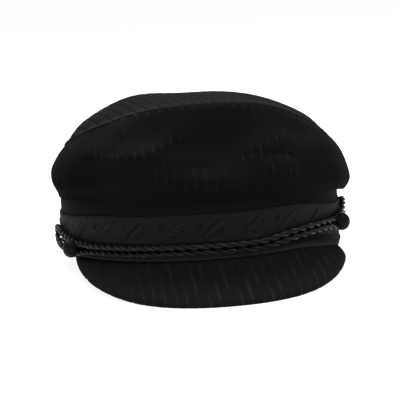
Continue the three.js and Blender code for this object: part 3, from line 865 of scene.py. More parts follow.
def make_peak():
    turn = np.linspace(-math.pi / 2, math.pi / 2, PEAK_COLUMNS + 1)
    corner = math.asin(PEAK_HALF_WIDTH / (BAND_HALF_WIDTH + PEAK_JOIN_OFF))
    band = on_band(np.degrees(2 * turn / math.pi * corner), 0, PEAK_JOIN_OFF)[:, :2]
    edge = peak_edge(turn)
    edge[:, 1] = np.minimum(edge[:, 1], band[:, 1] - PEAK_CORNER_LENGTH)
    run = np.gradient(edge, axis=0)
    out = np.stack([run[:, 1], -run[:, 0]], -1) / np.linalg.norm(run, axis=1, keepdims=True)
    to_corner = (np.abs(np.degrees(turn)) - PEAK_TAPER_FROM) / (90 - PEAK_TAPER_FROM)
    taper = np.sqrt(np.clip(1 - to_corner.clip(0) ** 2, 0, 1))
    half = PEAK_THICK / 2 * taper
    inside = edge - out * half[:, None]
    share = np.linspace(0, 1, PEAK_ROWS)[:, None, None]
    top_plan = band + (inside - band) * share
    under_plan = band + (inside - band) * np.linspace(1, 0, PEAK_UNDER_ROWS)[:, None, None]
    rows = [np.dstack([top_plan, peak_height(top_plan[..., 0], top_plan[..., 1])])]
    rows[0][..., 2] -= PEAK_THICK / 2 - half
    middle = peak_height(edge[:, 0], edge[:, 1]) - PEAK_THICK / 2
    for angle in PEAK_EDGE_TURNS:
        plan = inside + out * (half * math.sin(angle))[:, None]
        rows.append(np.dstack([plan[None], (middle + half * math.cos(angle))[None]]))
    under = np.dstack([under_plan, peak_height(under_plan[..., 0], under_plan[..., 1])])
    under[..., 2] -= PEAK_THICK / 2 + half
    rows.append(under)
    face = np.concatenate(rows)
    ahead = np.gradient(face, axis=1)
    across = np.gradient(face, axis=0)
    normal = np.cross(across, ahead)
    normal = normal / np.maximum(np.linalg.norm(normal, axis=2, keepdims=True), 1e-9)
    x, y = face[..., 0], face[..., 1]
    wale = (x + PEAK_WALE_PHASE + ripple(x, y, *PEAK_WANDER) + ripple(x, y, *PEAK_WOBBLE)) / WALE_PITCH
    from_band = np.hypot(x / BAND_HALF_WIDTH, y / BAND_HALF_DEPTH) * BAND_RADIUS - BAND_RADIUS
    height = (PEAK_WALE + ripple(x, y, *PEAK_UNEVENNESS)) * step_up(from_band, *PEAK_WALES_FROM)
    relief = wale_relief(wale, height) * taper
    relief = np.where(normal[..., 2] < PEAK_FACES_DOWN, np.minimum(relief, 0), relief)
    face = face + normal * relief[..., None]
    worn = np.clip(PEAK_WORN_MIDDLE + ripple(3 * x, y, *PEAK_WORN), 0, 1)
    worn = worn * (PEAK_LEFT_WORN + (1 - PEAK_LEFT_WORN) * step_up(x, *PEAK_LEFT))
    worn = PEAK_LEAST_WORN + (1 - PEAK_LEAST_WORN) * worn
    # Painted light near the band, where the crown and the cord shade the peak.
    pale = PEAK_PALENESS + PEAK_PAINTED_LIGHT_AT_BAND * (1 - step_up(from_band, *PEAK_PAINTED_LIGHT_OVER))
    ground_and_painted_light = pale + (1 - pale) * groove(wale) * step_up(from_band, *PEAK_GROOVES_FROM) * worn
    grid = np.concatenate([face, face[:1]])[:, ::-1]
    ground_and_painted_light = np.concatenate([ground_and_painted_light, ground_and_painted_light[:1]])[:, ::-1]
    uv = grid[..., :2] / UV_UNIT
    return sewn_grid("peak", grid, uv, {"groove": ground_and_painted_light})


peak = make_peak()

# %% [markdown]
# The band and the buttons are modelled by hand, upright and in millimetres. Three helpers serve both: one
# applies a modifier, one selects vertices by their place, and one leans the finished piece back and sets it
# down, which turns it to metres as well.

# %% Helpers for pieces modelled by hand


def apply_modifier(piece, kind, **settings):
    """Adds a modifier, sets it and applies it."""
    modifier = piece.modifiers.new(kind.lower(), kind)
    for key, value in settings.items():
        setattr(modifier, key, value)
    bpy.context.view_layer.objects.active = piece
    bpy.ops.object.modifier_apply(modifier=modifier.name)


def select_vertices(piece, chosen):
    """Selects the vertices that chosen says yes to, in edit mode with vertex select."""
    bpy.ops.object.mode_set(mode="EDIT")
    bpy.ops.mesh.select_mode(type="VERT")
    bpy.ops.mesh.select_all(action="DESELECT")
    bpy.ops.object.mode_set(mode="OBJECT")
    for vertex in piece.data.vertices:
        vertex.select = bool(chosen(vertex.co))
    bpy.ops.object.mode_set(mode="EDIT")


def set_down(piece):
    """Leans a piece that was modelled upright in millimetres, and sets it down in the frame."""
    mesh = piece.data
    co = np.zeros(len(mesh.vertices) * 3, np.float32)
    mesh.vertices.foreach_get("co", co)
    mesh.vertices.foreach_set("co", to_frame(co.reshape(-1, 3)).astype(np.float32).ravel())
    mesh.update()


print("three helpers")

# %% [markdown]
# The band starts as an open cylinder that is stretched to the head's oval, and loops are cut round it. The
# loops near the rim are pushed out as the narrow welt that shows above the peak. Then the Solidify modifier
# gives the wall its thickness, Bevel rounds its edges, and the band is leaned back. Two numbers on each
# vertex say where painted light lies along the rim in front, and where painted shade darkens the sides.

# %% Band
BAND_SEGMENTS = 288
WELT_LOOPS = ((2.2, 0.8), (2.75, 1), (3.3, 0.8))
WELT_OUT = 0.75
BAND_LOOPS = (1.9, 2.2, 2.75, 3.3, 3.6, 6, 9, 14, 20, 26, 31)
LOOP_NEAR = 0.05
BAND_BEVEL = 0.35
BAND_SHARP_FROM = math.radians(50)
RIM_FADE = (3.2, 5)
RIM_FRONT = (55, 95)
BAND_SHADE = 0.5


def make_band():
    deselect()
    bpy.ops.mesh.primitive_cylinder_add(
        vertices=BAND_SEGMENTS, radius=1, depth=BAND_HEIGHT, end_fill_type="NOTHING",
        location=(0, 0, BAND_HEIGHT / 2),
    )
    band = bpy.context.object
    band.name = "head_band"
    band.scale = (BAND_HALF_WIDTH, BAND_HALF_DEPTH, 1)
    bpy.ops.object.transform_apply(location=True, rotation=True, scale=True)
    bpy.ops.object.mode_set(mode="EDIT")
    for height in BAND_LOOPS:
        bpy.ops.mesh.select_all(action="SELECT")
        bpy.ops.mesh.bisect(plane_co=(0, 0, height), plane_no=(0, 0, 1))
    for height, share in WELT_LOOPS:
        select_vertices(band, lambda co: abs(co.z - height) < LOOP_NEAR)
        out = 1 + share * WELT_OUT / BAND_RADIUS
        bpy.ops.transform.resize(value=(out, out, 1), center_override=(0, 0, height))
    bpy.ops.object.mode_set(mode="OBJECT")
    apply_modifier(band, "SOLIDIFY", thickness=BAND_WALL, offset=-1)
    apply_modifier(
        band, "BEVEL", width=BAND_BEVEL, segments=3, limit_method="ANGLE", angle_limit=BAND_SHARP_FROM)
    rim = band.data.attributes.new("rim", "FLOAT", "POINT")
    shaded = band.data.attributes.new("shaded", "FLOAT", "POINT")
    for vertex in band.data.vertices:
        at = math.degrees(math.atan2(vertex.co.x / BAND_HALF_WIDTH, -vertex.co.y / BAND_HALF_DEPTH))
        front = 1 - step_up(abs(at), *RIM_FRONT)
        # Painted light along the welt at the rim in front.
        rim.data[vertex.index].value = float(front * (1 - step_up(vertex.co.z, *RIM_FADE)))
        # Painted shade on the band's sides.
        shaded.data[vertex.index].value = float(BAND_SHADE * side_share(at))
        vertex.co.z -= float(rim_sag(at)) * (1 - vertex.co.z / BAND_HEIGHT)
    set_down(band)
    bpy.ops.object.shade_smooth_by_angle(angle=BAND_SHARP_FROM)
    print("head_band has", len(band.data.polygons), "faces")
    return band


head_band = make_band()

# %% [markdown]
# The braid round the band is woven with a row of sprigs, a common pattern on caps like this. Each sprig is
# a stem that slants up to the right, with four small leaves on its right side and a curl below. It is made
# of thicker thread that stands out of the ground, and the ground sinks beside it. So a sprig here is a short
# list of strokes, each with its width and its height, and the strokes are repeated round the braid. A loom
# isn't perfect, so each stroke is a little fuller or thinner from one sprig to the next. Both edges of the
# braid are selvedges, woven as fine cords.

# %% Relief of the braid
RIBBON_WIDTH = 20
SPRIG_REPEATS = 24
SPRIG_AT = -2.5
SPRIG = [
    # half width, height, line of places across and up, from the sprig's middle
    [0.65, -0.6, [[-6.8, -3.9], [-1.6, 0.8], [2.4, 4.4], [5.2, 6.6]]],
    [0.6, 0.6, [[-5.6, -4.3], [-0.6, 0.1], [3.0, 3.1], [6.0, 5.2]]],
    [0.5, 0.5, [[-1.6, -2.0], [0.4, -1.5], [2.2, -2.0]]],
    [0.5, 0.5, [[0.6, -0.2], [2.6, 0.5], [4.4, -0.1]]],
    [0.5, 0.5, [[2.8, 1.8], [4.8, 2.4], [6.6, 1.7]]],
    [0.5, 0.45, [[4.8, 3.7], [6.4, 4.6], [8.0, 4.0]]],
    [0.5, -0.5, [[-0.4, -3.0], [2.4, -3.1]]],
    [0.5, -0.5, [[2.0, -1.2], [4.8, -1.3]]],
    [0.5, -0.5, [[4.2, 0.6], [7.0, 0.5]]],
    [0.45, -0.4, [[6.0, 3.0], [8.4, 2.8]]],
    [0.6, 0.42, [[-3.2, -5.2], [-0.6, -6.4], [2.6, -6.2], [6.4, -4.8]]],
    [1.0, -0.5, [[-8.2, 1.6], [-5.8, 4.6]]],
    [0.4, 0.3, [[-9.6, 7.9], [-6.4, 8.0]]],
    [0.4, 0.3, [[8.2, 7.4], [11.4, 7.7]]],
    [0.45, -0.25, [[8.4, 6.6], [11.2, 6.8]]],
]
SPRIG_ENDS = (-0.02, 0.12)
SPRIG_MIDDLE = 0.62
SPRIG_VARIES = 0.38
BRAID_UNEVENNESS = (0.12, 9, 11)
SELVEDGE = 1.2
SELVEDGE_SOFT = 0.3
SELVEDGE_CORD = 0.8
SELVEDGE_RISE = 0.15
SELVEDGE_WAVE = 0.2
BRAID_TOP_LIGHT_MIDDLE = 0.5
BRAID_TOP_LIGHT_VARIES = (0.5, 60, 12)
TOP_EDGE_THIN = 0.8
TOP_EDGE_THIN_OVER = 1.3


def braid_relief(along_band, up):
    """The braid's relief in millimetres, and how much a place is sunk ground for painted shade, or raised
    thread for painted light.
    """
    repeat = 2 * math.pi * BAND_RADIUS / SPRIG_REPEATS
    from_first = along_band - math.radians(SPRIG_AT) * BAND_RADIUS + repeat / 2
    across = from_first % repeat - repeat / 2
    number = from_first // repeat
    across, up, number = np.broadcast_arrays(across, up, number)
    relief = np.zeros(across.shape)
    sunk = np.zeros(across.shape)
    raised = np.zeros(across.shape)
    for stroke_number, (half_width, height, line) in enumerate(SPRIG):
        signed, share = line_places(across, up, line)
        ends = step_up(np.minimum(share, 1 - share), *SPRIG_ENDS)
        fullness = SPRIG_MIDDLE + SPRIG_VARIES * np.sin(2.4 * number + 1.9 * stroke_number + 0.6)
        stroke = fullness * ends * np.exp(-((signed / half_width) ** 2))
        relief += height * stroke
        # Sunk strokes take painted shade, and raised ones painted light.
        sunk = np.maximum(sunk, stroke * (height < 0))
        raised = np.maximum(raised, stroke * (height > 0))
    relief = relief + ripple(across, up, *BRAID_UNEVENNESS)
    from_edge = RIBBON_WIDTH / 2 - np.abs(up)
    edge = np.clip((SELVEDGE - from_edge) / SELVEDGE_SOFT, 0, 1)
    cords = SELVEDGE_RISE - SELVEDGE_WAVE * np.cos(2 * math.pi * from_edge / SELVEDGE_CORD)
    # Painted highlight along the braid's top edge, uneven along it.
    braid_top_light = edge * (up > 0) * (BRAID_TOP_LIGHT_MIDDLE + ripple(from_first, up, *BRAID_TOP_LIGHT_VARIES))
    thin = TOP_EDGE_THIN * step_up(up, RIBBON_WIDTH / 2 - TOP_EDGE_THIN_OVER, RIBBON_WIDTH / 2)
    relief = relief * (1 - edge) + cords * edge - thin
    return relief, sunk * (1 - edge), np.maximum(raised, braid_top_light)


print("a sprig has", len(SPRIG), "strokes")

# %% [markdown]
# The braid itself is a strip that lies round the band, with the relief on its outer face and a flat face
# against the band. Its grid is fine enough for each stroke to be real relief. The upper edge is thinner, as a
# sewn edge is, and its last thread gets a painted highlight.

# %% Braid ribbon
RIBBON_LOW = 10
RIBBON_THICK = 1
RIBBON_COLUMNS = 1500
RIBBON_ROWS = 54
RIBBON_REST = 0.05
RIBBON_SETTLE = 0.1
BRAID_TOP_PAINTED_LIGHT = 0.8
BRAID_SHADE = 0.35


def make_ribbon():
    at = np.linspace(-180, 180, RIBBON_COLUMNS + 1)
    up = np.linspace(0, 1, RIBBON_ROWS)[:, None] * RIBBON_WIDTH
    along_band = np.radians(at) * BAND_RADIUS
    relief, sunk, raised = braid_relief(along_band, up - RIBBON_WIDTH / 2)
    low = RIBBON_LOW - ribbon_sag(at)
    outer = on_band(at, low + up, GAP + RIBBON_THICK - RIBBON_SETTLE + relief)
    inner_up = np.array([RIBBON_WIDTH, RIBBON_WIDTH / 2, 0])[:, None]
    inner = on_band(at, low + inner_up, RIBBON_REST)
    grid = np.concatenate([outer, inner, outer[:1]])
    marks = {}
    # Painted shade on the braid at the hat's sides.
    shaded = np.broadcast_to(BRAID_SHADE * side_share(at), sunk.shape)
    for mark, values in (("sunk", sunk), ("raised", raised), ("shaded", shaded)):
        marks[mark] = np.zeros(grid.shape[:2])
        marks[mark][:len(outer)] = values
        marks[mark][-1] = values[0]
    # Painted light on the top face of the braid's upper edge.
    marks["raised"][len(outer) - 1:len(outer) + 1] = BRAID_TOP_PAINTED_LIGHT
    uv = np.zeros(grid.shape[:2] + (2,))
    uv[..., 0] = along_band / UV_UNIT
    uv[..., 1] = grid[..., 2] / UV_UNIT
    return sewn_grid("braid_ribbon", grid, uv, marks)


braid_ribbon = make_ribbon()

# %% [markdown]
# The cord is one closed loop. It is held against the band: it crosses the front twice, goes under each button
# on both sides of the shank, and ends in a slack loop behind each button. Its route is a list of places round
# the band, with a smooth curve through them.

# %% Route of the cord
CORD_ROUTE = np.array([
    # at, height, off
    [-58, 10.9, 3.5],
    [-52, 10.4, 3.5],
    [-45, 10.4, 3.5],
    [-35, 10.4, 3.5],
    [-26.5, 10.5, 3.5],
    [-17, 10.7, 3.5],
    [-8, 10.5, 3.5],
    [2, 10.3, 3.5],
    [11, 10.2, 3.5],
    [18, 10.9, 3.5],
    [26, 13.0, 3.5],
    [36, 14.7, 3.5],
    [46, 15.1, 3.5],
    [54, 14.6, 3.5],
    [62, 15.5, 3.5],
    [69, 17.0, 3.5],
    [76, 20.2, 3.5],
    [82, 21.8, 3.5],
    [87, 20.4, 3.5],
    [88.5, 17.2, 3.5],
    [85, 14.4, 3.5],
    [78, 12.2, 3.5],
    [70, 10.0, 3.5],
    [60, 8.8, 3.5],
    [54, 10.4, 3.5],
    [46, 11.0, 3.5],
    [38, 10.7, 3.4],
    [30, 9.6, 3.1],
    [22, 7.6, 2.4],
    [14, 6.2, 2.2],
    [6, 6.2, 2.2],
    [-2, 6.5, 2.2],
    [-10, 6.7, 2.2],
    [-19, 6.6, 2.2],
    [-28, 6.2, 2.2],
    [-37, 6.0, 2.2],
    [-46, 6.1, 2.2],
    [-54, 6.1, 2.2],
    [-61, 4.9, 2.3],
    [-66, 4.1, 2.4],
    [-72, 4.5, 3.0],
    [-78, 6.0, 3.5],
    [-85, 7.8, 3.5],
    [-90, 10.2, 3.5],
    [-92, 13.4, 3.5],
    [-89, 16.4, 3.5],
    [-84, 17.2, 3.5],
    [-78, 15.6, 3.5],
    [-71, 12.8, 3.5],
    [-65, 11.5, 3.5],
])
CORD_STEP = 0.5
CURVE_STEPS = 24


def closed_curve(table, step):
    """Points at even steps along a smooth closed curve through a table's rows, and their length."""
    fine = []
    for row in range(len(table)):
        near = [table[(row + k) % len(table)] for k in (-1, 0, 1, 2)]
        fine.append([smooth(*near, share) for share in np.linspace(0, 1, CURVE_STEPS, endpoint=False)])
    places = np.concatenate(fine)
    points = on_band(places[:, 0], places[:, 1], places[:, 2])
    closed = np.concatenate([points, points[:1]])
    length = np.concatenate([[0], np.cumsum(np.linalg.norm(np.diff(closed, axis=0), axis=1))])
    count = round(length[-1] / step)
    even = np.linspace(0, length[-1], count, endpoint=False)
    return np.stack([np.interp(even, length, closed[:, k]) for k in range(3)], -1), length[-1]


cord_middle, cord_length = closed_curve(CORD_ROUTE, CORD_STEP)
print(f"the cord's loop is {cord_length:.0f} mm long")

# %% [markdown]
# The cord is two satin strands twisted together. Each strand winds round the route as a helix, and the two
# are half a turn apart. A tube is made along each helix as a grid, and the two tubes are joined. The twist is
# tight at the left and looser from the middle on, where the cord is stretched.

# %% Cord
CORD_TIGHT_LAY = 10.8
CORD_LOOSE_LAY = 15
CORD_LOOSENS = (-28, -5)
STRAND_RADIUS = 1.05
STRAND_OFFSET = 0.92
STRAND_SIDES = 12


def make_cord(middle, length):
    ahead = np.roll(middle, -1, 0) - np.roll(middle, 1, 0)
    ahead = ahead / np.linalg.norm(ahead, axis=1, keepdims=True)
    off_band = middle * [1 / BAND_HALF_WIDTH ** 2, 1 / BAND_HALF_DEPTH ** 2, 0]
    off_band = off_band - ahead * (off_band * ahead).sum(1, keepdims=True)
    off_band = off_band / np.linalg.norm(off_band, axis=1, keepdims=True)
    side = np.cross(ahead, off_band)
    at = np.degrees(np.arctan2(middle[:, 0], -middle[:, 1]))
    lay = CORD_TIGHT_LAY + (CORD_LOOSE_LAY - CORD_TIGHT_LAY) * step_up(at, *CORD_LOOSENS)
    turned = np.concatenate([[0], np.cumsum(length / len(middle) / lay)])
    turns = round(turned[-1])
    twist = 2 * math.pi * turned * turns / turned[-1]
    middle, off_band, side = [np.concatenate([part, part[:1]]) for part in (middle, off_band, side)]
    strands = []
    for start in (0, math.pi):
        outwards, upwards = np.cos(twist + start)[:, None], np.sin(twist + start)[:, None]
        out = outwards * off_band + upwards * side
        strand = middle + STRAND_OFFSET * out
        run = np.gradient(strand, axis=0)
        run = run / np.linalg.norm(run, axis=1, keepdims=True)
        out = out - run * (out * run).sum(1, keepdims=True)
        out = out / np.linalg.norm(out, axis=1, keepdims=True)
        beside = np.cross(run, out)
        round_it = np.linspace(0, 2 * math.pi, STRAND_SIDES + 1)[:, None, None]
        grid = strand + STRAND_RADIUS * (np.cos(round_it) * out + np.sin(round_it) * beside)
        grid[:, -1] = grid[:, 0]
        uv = np.zeros(grid.shape[:2] + (2,))
        uv[..., 0] = np.linspace(0, length / UV_UNIT, len(strand))
        uv[..., 1] = np.linspace(0, 1, STRAND_SIDES + 1)[:, None]
        strands.append(sewn_grid("strand", grid[::-1], uv[::-1]))
    deselect()
    for strand in strands:
        strand.select_set(True)
    bpy.context.view_layer.objects.active = strands[0]
    bpy.ops.object.join()
    cord = bpy.context.object
    cord.name = "trim_cord"
    print("the cord has", turns, "turns")
    return cord


trim_cord = make_cord(cord_middle, cord_length)

# %% [markdown]
# Each button is a flattened ball with a flat back, a soft rim and a short thread shank, like a small
# half-ball button on a coat. It starts as a sphere, which is flattened and lifted. What is then below its
# back is cut away, and the cut rim is bevelled. The shank is a short cylinder that is joined to it. One
# button is made, and each of the two on the hat is a copy with its own mesh.

# %% Buttons
BUTTON_RADIUS = 5.75
BUTTON_THICK = 6.5
BUTTON_DOME = 5.4
BUTTON_BACK = 5.6
BUTTON_BEVEL = 0.45
BUTTON_SHARP_FROM = math.radians(40)
BUTTON_SMOOTH_BELOW = math.radians(60)
BUTTON_SEGMENTS = 48
BUTTON_RINGS = 32
SHANK_SEGMENTS = 16
CUT_ABOVE = 0.01
SHANK_CLEARANCE = 0.3
SHANK_LENGTH = BUTTON_BACK - (RIBBON_THICK + GAP + SHANK_CLEARANCE)
SHANK_RADIUS = 0.9
LEFT_BUTTON = (-63.5, 7.7)
RIGHT_BUTTON = (59.5, 12.1)


def make_button():
    """A button about its own Z axis, with its back at 0, in millimetres."""
    deselect()
    bpy.ops.mesh.primitive_cylinder_add(
        vertices=SHANK_SEGMENTS, radius=SHANK_RADIUS, depth=SHANK_LENGTH, location=(0, 0, -SHANK_LENGTH / 2))
    shank = bpy.context.object
    bpy.ops.object.transform_apply(location=True, rotation=True, scale=True)
    bpy.ops.mesh.primitive_uv_sphere_add(
        segments=BUTTON_SEGMENTS, ring_count=BUTTON_RINGS, radius=BUTTON_RADIUS)
    button = bpy.context.object
    bpy.ops.object.mode_set(mode="EDIT")
    bpy.ops.mesh.select_all(action="SELECT")
    bpy.ops.transform.resize(value=(1, 1, BUTTON_DOME / BUTTON_RADIUS), center_override=(0, 0, 0))
    bpy.ops.transform.translate(value=(0, 0, BUTTON_THICK - BUTTON_DOME))
    bpy.ops.mesh.bisect(plane_co=(0, 0, CUT_ABOVE), plane_no=(0, 0, 1), use_fill=True, clear_inner=True)
    bpy.ops.object.mode_set(mode="OBJECT")
    apply_modifier(
        button, "BEVEL", width=BUTTON_BEVEL, segments=3, limit_method="ANGLE", angle_limit=BUTTON_SHARP_FROM)
    shank.select_set(True)
    button.select_set(True)
    bpy.context.view_layer.objects.active = button
    bpy.ops.object.join()
    bpy.ops.object.shade_smooth_by_angle(angle=BUTTON_SMOOTH_BELOW)
    return button


def place_button(button, name, at, height):
    """Moves a copy of the button's mesh to its place on the band, and leaves its object at the origin."""
    copy = button.copy()
    copy.data = button.data.copy()
    copy.name = name
    bpy.context.scene.collection.objects.link(copy)
    turn = math.radians(at)
    normal = Vector((math.sin(turn) / BAND_HALF_WIDTH, -math.cos(turn) / BAND_HALF_DEPTH, 0)).normalized()
    placed = normal.to_track_quat("Z", "Y").to_matrix().to_4x4()
    placed.translation = Vector(on_band(at, height, BUTTON_BACK))
    copy.data.transform(placed)
    set_down(copy)
    return copy


button = make_button()
left_button = place_button(button, "left_button", *LEFT_BUTTON)
right_button = place_button(button, "right_button", *RIGHT_BUTTON)
bpy.data.objects.remove(button)
print("two buttons")

# %% [markdown]
# Shader maths reads best as plain sums. This small class wraps one socket, so that a + b or 1 - mask adds the
# Math node for it. The Finish class starts a material, and its node method adds any other node.

# %% Write shader maths as sums


class Value:
    """One number socket of a material. Sums and products of it add Math nodes."""

    def __init__(self, tree, socket):
        self.tree = tree
        self.socket = socket

    def math(self, operation, *terms):
        node = self.tree.nodes.new("ShaderNodeMath")
        node.operation = operation
        for place, term in enumerate(terms):
            if isinstance(term, Value):
                self.tree.links.new(term.socket, node.inputs[place])
            else:
                node.inputs[place].default_value = term
        return Value(self.tree, node.outputs[0])

    def __add__(self, other):
        return self.math("ADD", self, other)

    def __radd__(self, other):
        return self.math("ADD", other, self)

    def __sub__(self, other):
        return self.math("SUBTRACT", self, other)

    def __rsub__(self, other):
        return self.math("SUBTRACT", other, self)

    def __mul__(self, other):
        return self.math("MULTIPLY", self, other)

    def __rmul__(self, other):
        return self.math("MULTIPLY", other, self)

    def __pow__(self, other):
        return self.math("POWER", self, other)


class Finish:
    """A material under way, with its Principled node."""

    def __init__(self, name, **plain):
        self.material = bpy.data.materials.new(name)
        self.material.use_nodes = True
        self.tree = self.material.node_tree
        self.surface = self.tree.nodes["Principled BSDF"]
        for key, value in plain.items():
            self.surface.inputs[key.replace("_", " ")].default_value = value

    def node(self, kind, settings=None, sockets=None, output=0):
        node = self.tree.nodes.new(kind)
        for key, value in (settings or {}).items():
            setattr(node, key, value)
        for key, value in (sockets or {}).items():
            self.feed(node.inputs[key], value)
        return Value(self.tree, node.outputs[output])

    def feed(self, socket, value):
        if isinstance(value, Value):
            self.tree.links.new(value.socket, socket)
        else:
            socket.default_value = value

    def mix(self, share, first, second):
        """A colour between two colours."""
        return self.node(
            "ShaderNodeMix",
            {"data_type": "RGBA"},
            {"Factor": share, 6: first, 7: second},
            output=2,
        )

    def place(self):
        """The piece's own place, in metres."""
        return self.node("ShaderNodeTexCoord", output="Object")

    def mark(self, name):
        """A number that each vertex carries."""
        return self.node("ShaderNodeAttribute", {"attribute_name": name}, output="Fac")

    def noise(self, scale, detail=2):
        """Noise from 0 to 1 on the piece's own place."""
        sockets = {"Vector": self.place(), "Scale": scale, "Detail": detail}
        return self.node("ShaderNodeTexNoise", None, sockets)

    def lines(self, direction, place, scale, distortion, detail=2):
        """Even soft lines from 0 to 1 across a direction, with a little wander."""
        settings = {"wave_type": "BANDS", "bands_direction": direction}
        sockets = {"Vector": place, "Scale": scale, "Distortion": distortion, "Detail": detail}
        return self.node("ShaderNodeTexWave", settings, sockets)

    def done(self, colour, roughness, height, depth):
        """The material, with its relief as a bump of depth metres."""
        self.feed(self.surface.inputs["Base Color"], colour)
        self.feed(self.surface.inputs["Roughness"], roughness)
        bump = self.node("ShaderNodeBump", None, {"Height": height, "Distance": depth, "Strength": 1.0})
        self.feed(self.surface.inputs["Normal"], bump)
        return self.material


# %% [markdown]
# Black corduroy swallows light when the eye looks straight into the pile, and looks paler where it is seen at
# a low angle. The Sheen of the Principled shader does that. The bare ground in the grooves is paler than the
# pile, so the groove number that each vertex carries mixes the two. That number also carries painted light
# along the crown's seam, on the top panel's puffed edge and on the peak near the band. Noise breaks up the
# pile, and a broad noise makes it darker where it is brushed one way and paler where it is brushed the other
# way. The painted shade of the hat's sides comes last, from its own number on each vertex.

# %% Corduroy
# The near-black colour of the painted shade on the hat's sides.
PAINTED_SHADE = (0.001, 0.001, 0.001, 1)
PILE_DARK = (0.0048, 0.0048, 0.0049, 1)
PILE_PALE = (0.0066, 0.0066, 0.0067, 1)
TUFT = (0.009, 0.009, 0.0091, 1)
PALE_GROUND_AND_PAINTED_LIGHT = (0.028, 0.028, 0.0282, 1)
BRUSHED_SCALE = 26
TUFT_SCALE = 1500
TUFT_SHARE = 0.35
BACK_DARK = (0.011, 0.011, 0.0112, 1)
BACK_PALE = (0.02, 0.02, 0.0205, 1)
BACK_SCALE = 900


def make_corduroy():
    finish = Finish("black corduroy", Sheen_Weight=0.012, Sheen_Roughness=0.3, Specular_IOR_Level=0.02)
    ground_and_painted_light = finish.mark("groove")
    tufts = finish.noise(TUFT_SCALE, 2)
    pile = finish.mix(finish.noise(BRUSHED_SCALE, 3), PILE_DARK, PILE_PALE)
    pile = finish.mix(TUFT_SHARE * tufts, pile, TUFT)
    colour = finish.mix(ground_and_painted_light ** 1.5, pile, PALE_GROUND_AND_PAINTED_LIGHT)
    # Painted shade on the hat's sides.
    colour = finish.mix(finish.mark("shaded"), colour, PAINTED_SHADE)
    return finish.done(colour, 0.95 - 0.2 * ground_and_painted_light, tufts, depth=0.00025)


def make_cloth_back():
    finish = Finish("corduroy back", Sheen_Weight=0.1, Specular_IOR_Level=0.2)
    threads = finish.noise(BACK_SCALE, 3)
    colour = finish.mix(threads, BACK_DARK, BACK_PALE)
    return finish.done(colour, 0.9, threads, depth=0.0001)


corduroy = make_corduroy()
cloth_back = make_cloth_back()
finish_piece(crown_side, "crown_side", "corduroy", corduroy, cloth_back)
finish_piece(crown_top, "crown_top", "corduroy", corduroy, cloth_back)
finish_piece(peak, "peak", "corduroy", corduroy)

# %% [markdown]
# The band is a plain brushed cotton twill. Its fine slanted lines are a wave on the piece's own place. Its
# rim in front, along the welt above the peak, gets painted light, and its sides get painted shade.

# %% Band cloth
TWILL_DARK = (0.006, 0.006, 0.0061, 1)
TWILL_PALE = (0.008, 0.008, 0.0081, 1)
TWILL_LINE = (0.004, 0.004, 0.0041, 1)
TWILL_LINE_SHARE = 0.15
TWILL_SCALE = 700
RIM_PAINTED_LIGHT = (0.045, 0.045, 0.0455, 1)


def make_band_cloth():
    finish = Finish("black twill", Specular_IOR_Level=0.05)
    wave = finish.lines("DIAGONAL", finish.place(), TWILL_SCALE, 0.6, detail=1)
    wear = finish.noise(40, 3)
    colour = finish.mix(wear, TWILL_DARK, TWILL_PALE)
    # Painted light along the rim in front.
    colour = finish.mix(finish.mark("rim"), colour, RIM_PAINTED_LIGHT)
    # Painted shade on the band's sides.
    colour = finish.mix(finish.mark("shaded"), colour, PAINTED_SHADE)
    colour = finish.mix(TWILL_LINE_SHARE * wave, colour, TWILL_LINE)
    return finish.done(colour, 0.85 - 0.1 * wear, wave, depth=0.00003)


finish_piece(head_band, "head_band", "band_cloth", make_band_cloth())

# %% [markdown]
# The braid's ground is a close satin weave with a little shine, a shade warmer than the corduroy. The raised
# thread of the leaves gets painted light, and the sunk ground beside it gets painted shade and is duller.

# %% Braid
BRAID_DARK = (0.0105, 0.0103, 0.0101, 1)
BRAID_PALE = (0.0135, 0.0132, 0.013, 1)
BRAID_LINE = (0.0065, 0.0064, 0.0062, 1)
BRAID_LINE_SHARE = 0.4
BRAID_SCALE = 8.5
SUNK_PAINTED_SHADE = (0.004, 0.004, 0.0039, 1)
SUNK_SHARE = 0.8
RAISED_PAINTED_LIGHT = (0.024, 0.0237, 0.0233, 1)
RAISED_SHARE = 0.75


def make_braid():
    finish = Finish("black braid", Specular_IOR_Level=0.08)
    sunk = finish.mark("sunk")
    threads = finish.lines("X", finish.node("ShaderNodeUVMap"), BRAID_SCALE, 0.8, detail=1)
    ground = finish.mix(finish.noise(55, 3), BRAID_DARK, BRAID_PALE)
    ground = finish.mix(BRAID_LINE_SHARE * threads, ground, BRAID_LINE)
    # Painted shade in the sunk ground and painted light on the raised thread.
    colour = finish.mix(SUNK_SHARE * sunk, ground, SUNK_PAINTED_SHADE)
    colour = finish.mix(RAISED_SHARE * finish.mark("raised"), colour, RAISED_PAINTED_LIGHT)
    # Painted shade on the braid at the hat's sides.
    colour = finish.mix(finish.mark("shaded"), colour, PAINTED_SHADE)
    return finish.done(colour, 0.62 + 0.2 * sunk, threads, depth=0.00008)


finish_piece(braid_ribbon, "braid_ribbon", "braid", make_braid())

# %% [markdown]
# The cord is of shiny thread, so each strand shows a streak of light where it turns over. Fine lines wound
# round each strand are its single threads.

# %% Cord thread
SATIN_DARK = (0.013, 0.013, 0.013, 1)
SATIN_PALE = (0.017, 0.017, 0.0171, 1)
SATIN_SLANT = 0.5
SATIN_SCALE = 3


def make_cord_thread():
    finish = Finish("black satin thread", Specular_IOR_Level=0.2)
    flat = finish.node("ShaderNodeUVMap")
    wound = finish.node("ShaderNodeMapping", None, {"Vector": flat, "Rotation": (0, 0, SATIN_SLANT)})
    threads = finish.lines("Y", wound, SATIN_SCALE, 0.3)
    colour = finish.mix(threads, SATIN_DARK, SATIN_PALE)
    return finish.done(colour, 0.34 - 0.06 * threads, threads, depth=0.00006)


finish_piece(trim_cord, "trim_cord", "satin_cord", make_cord_thread())

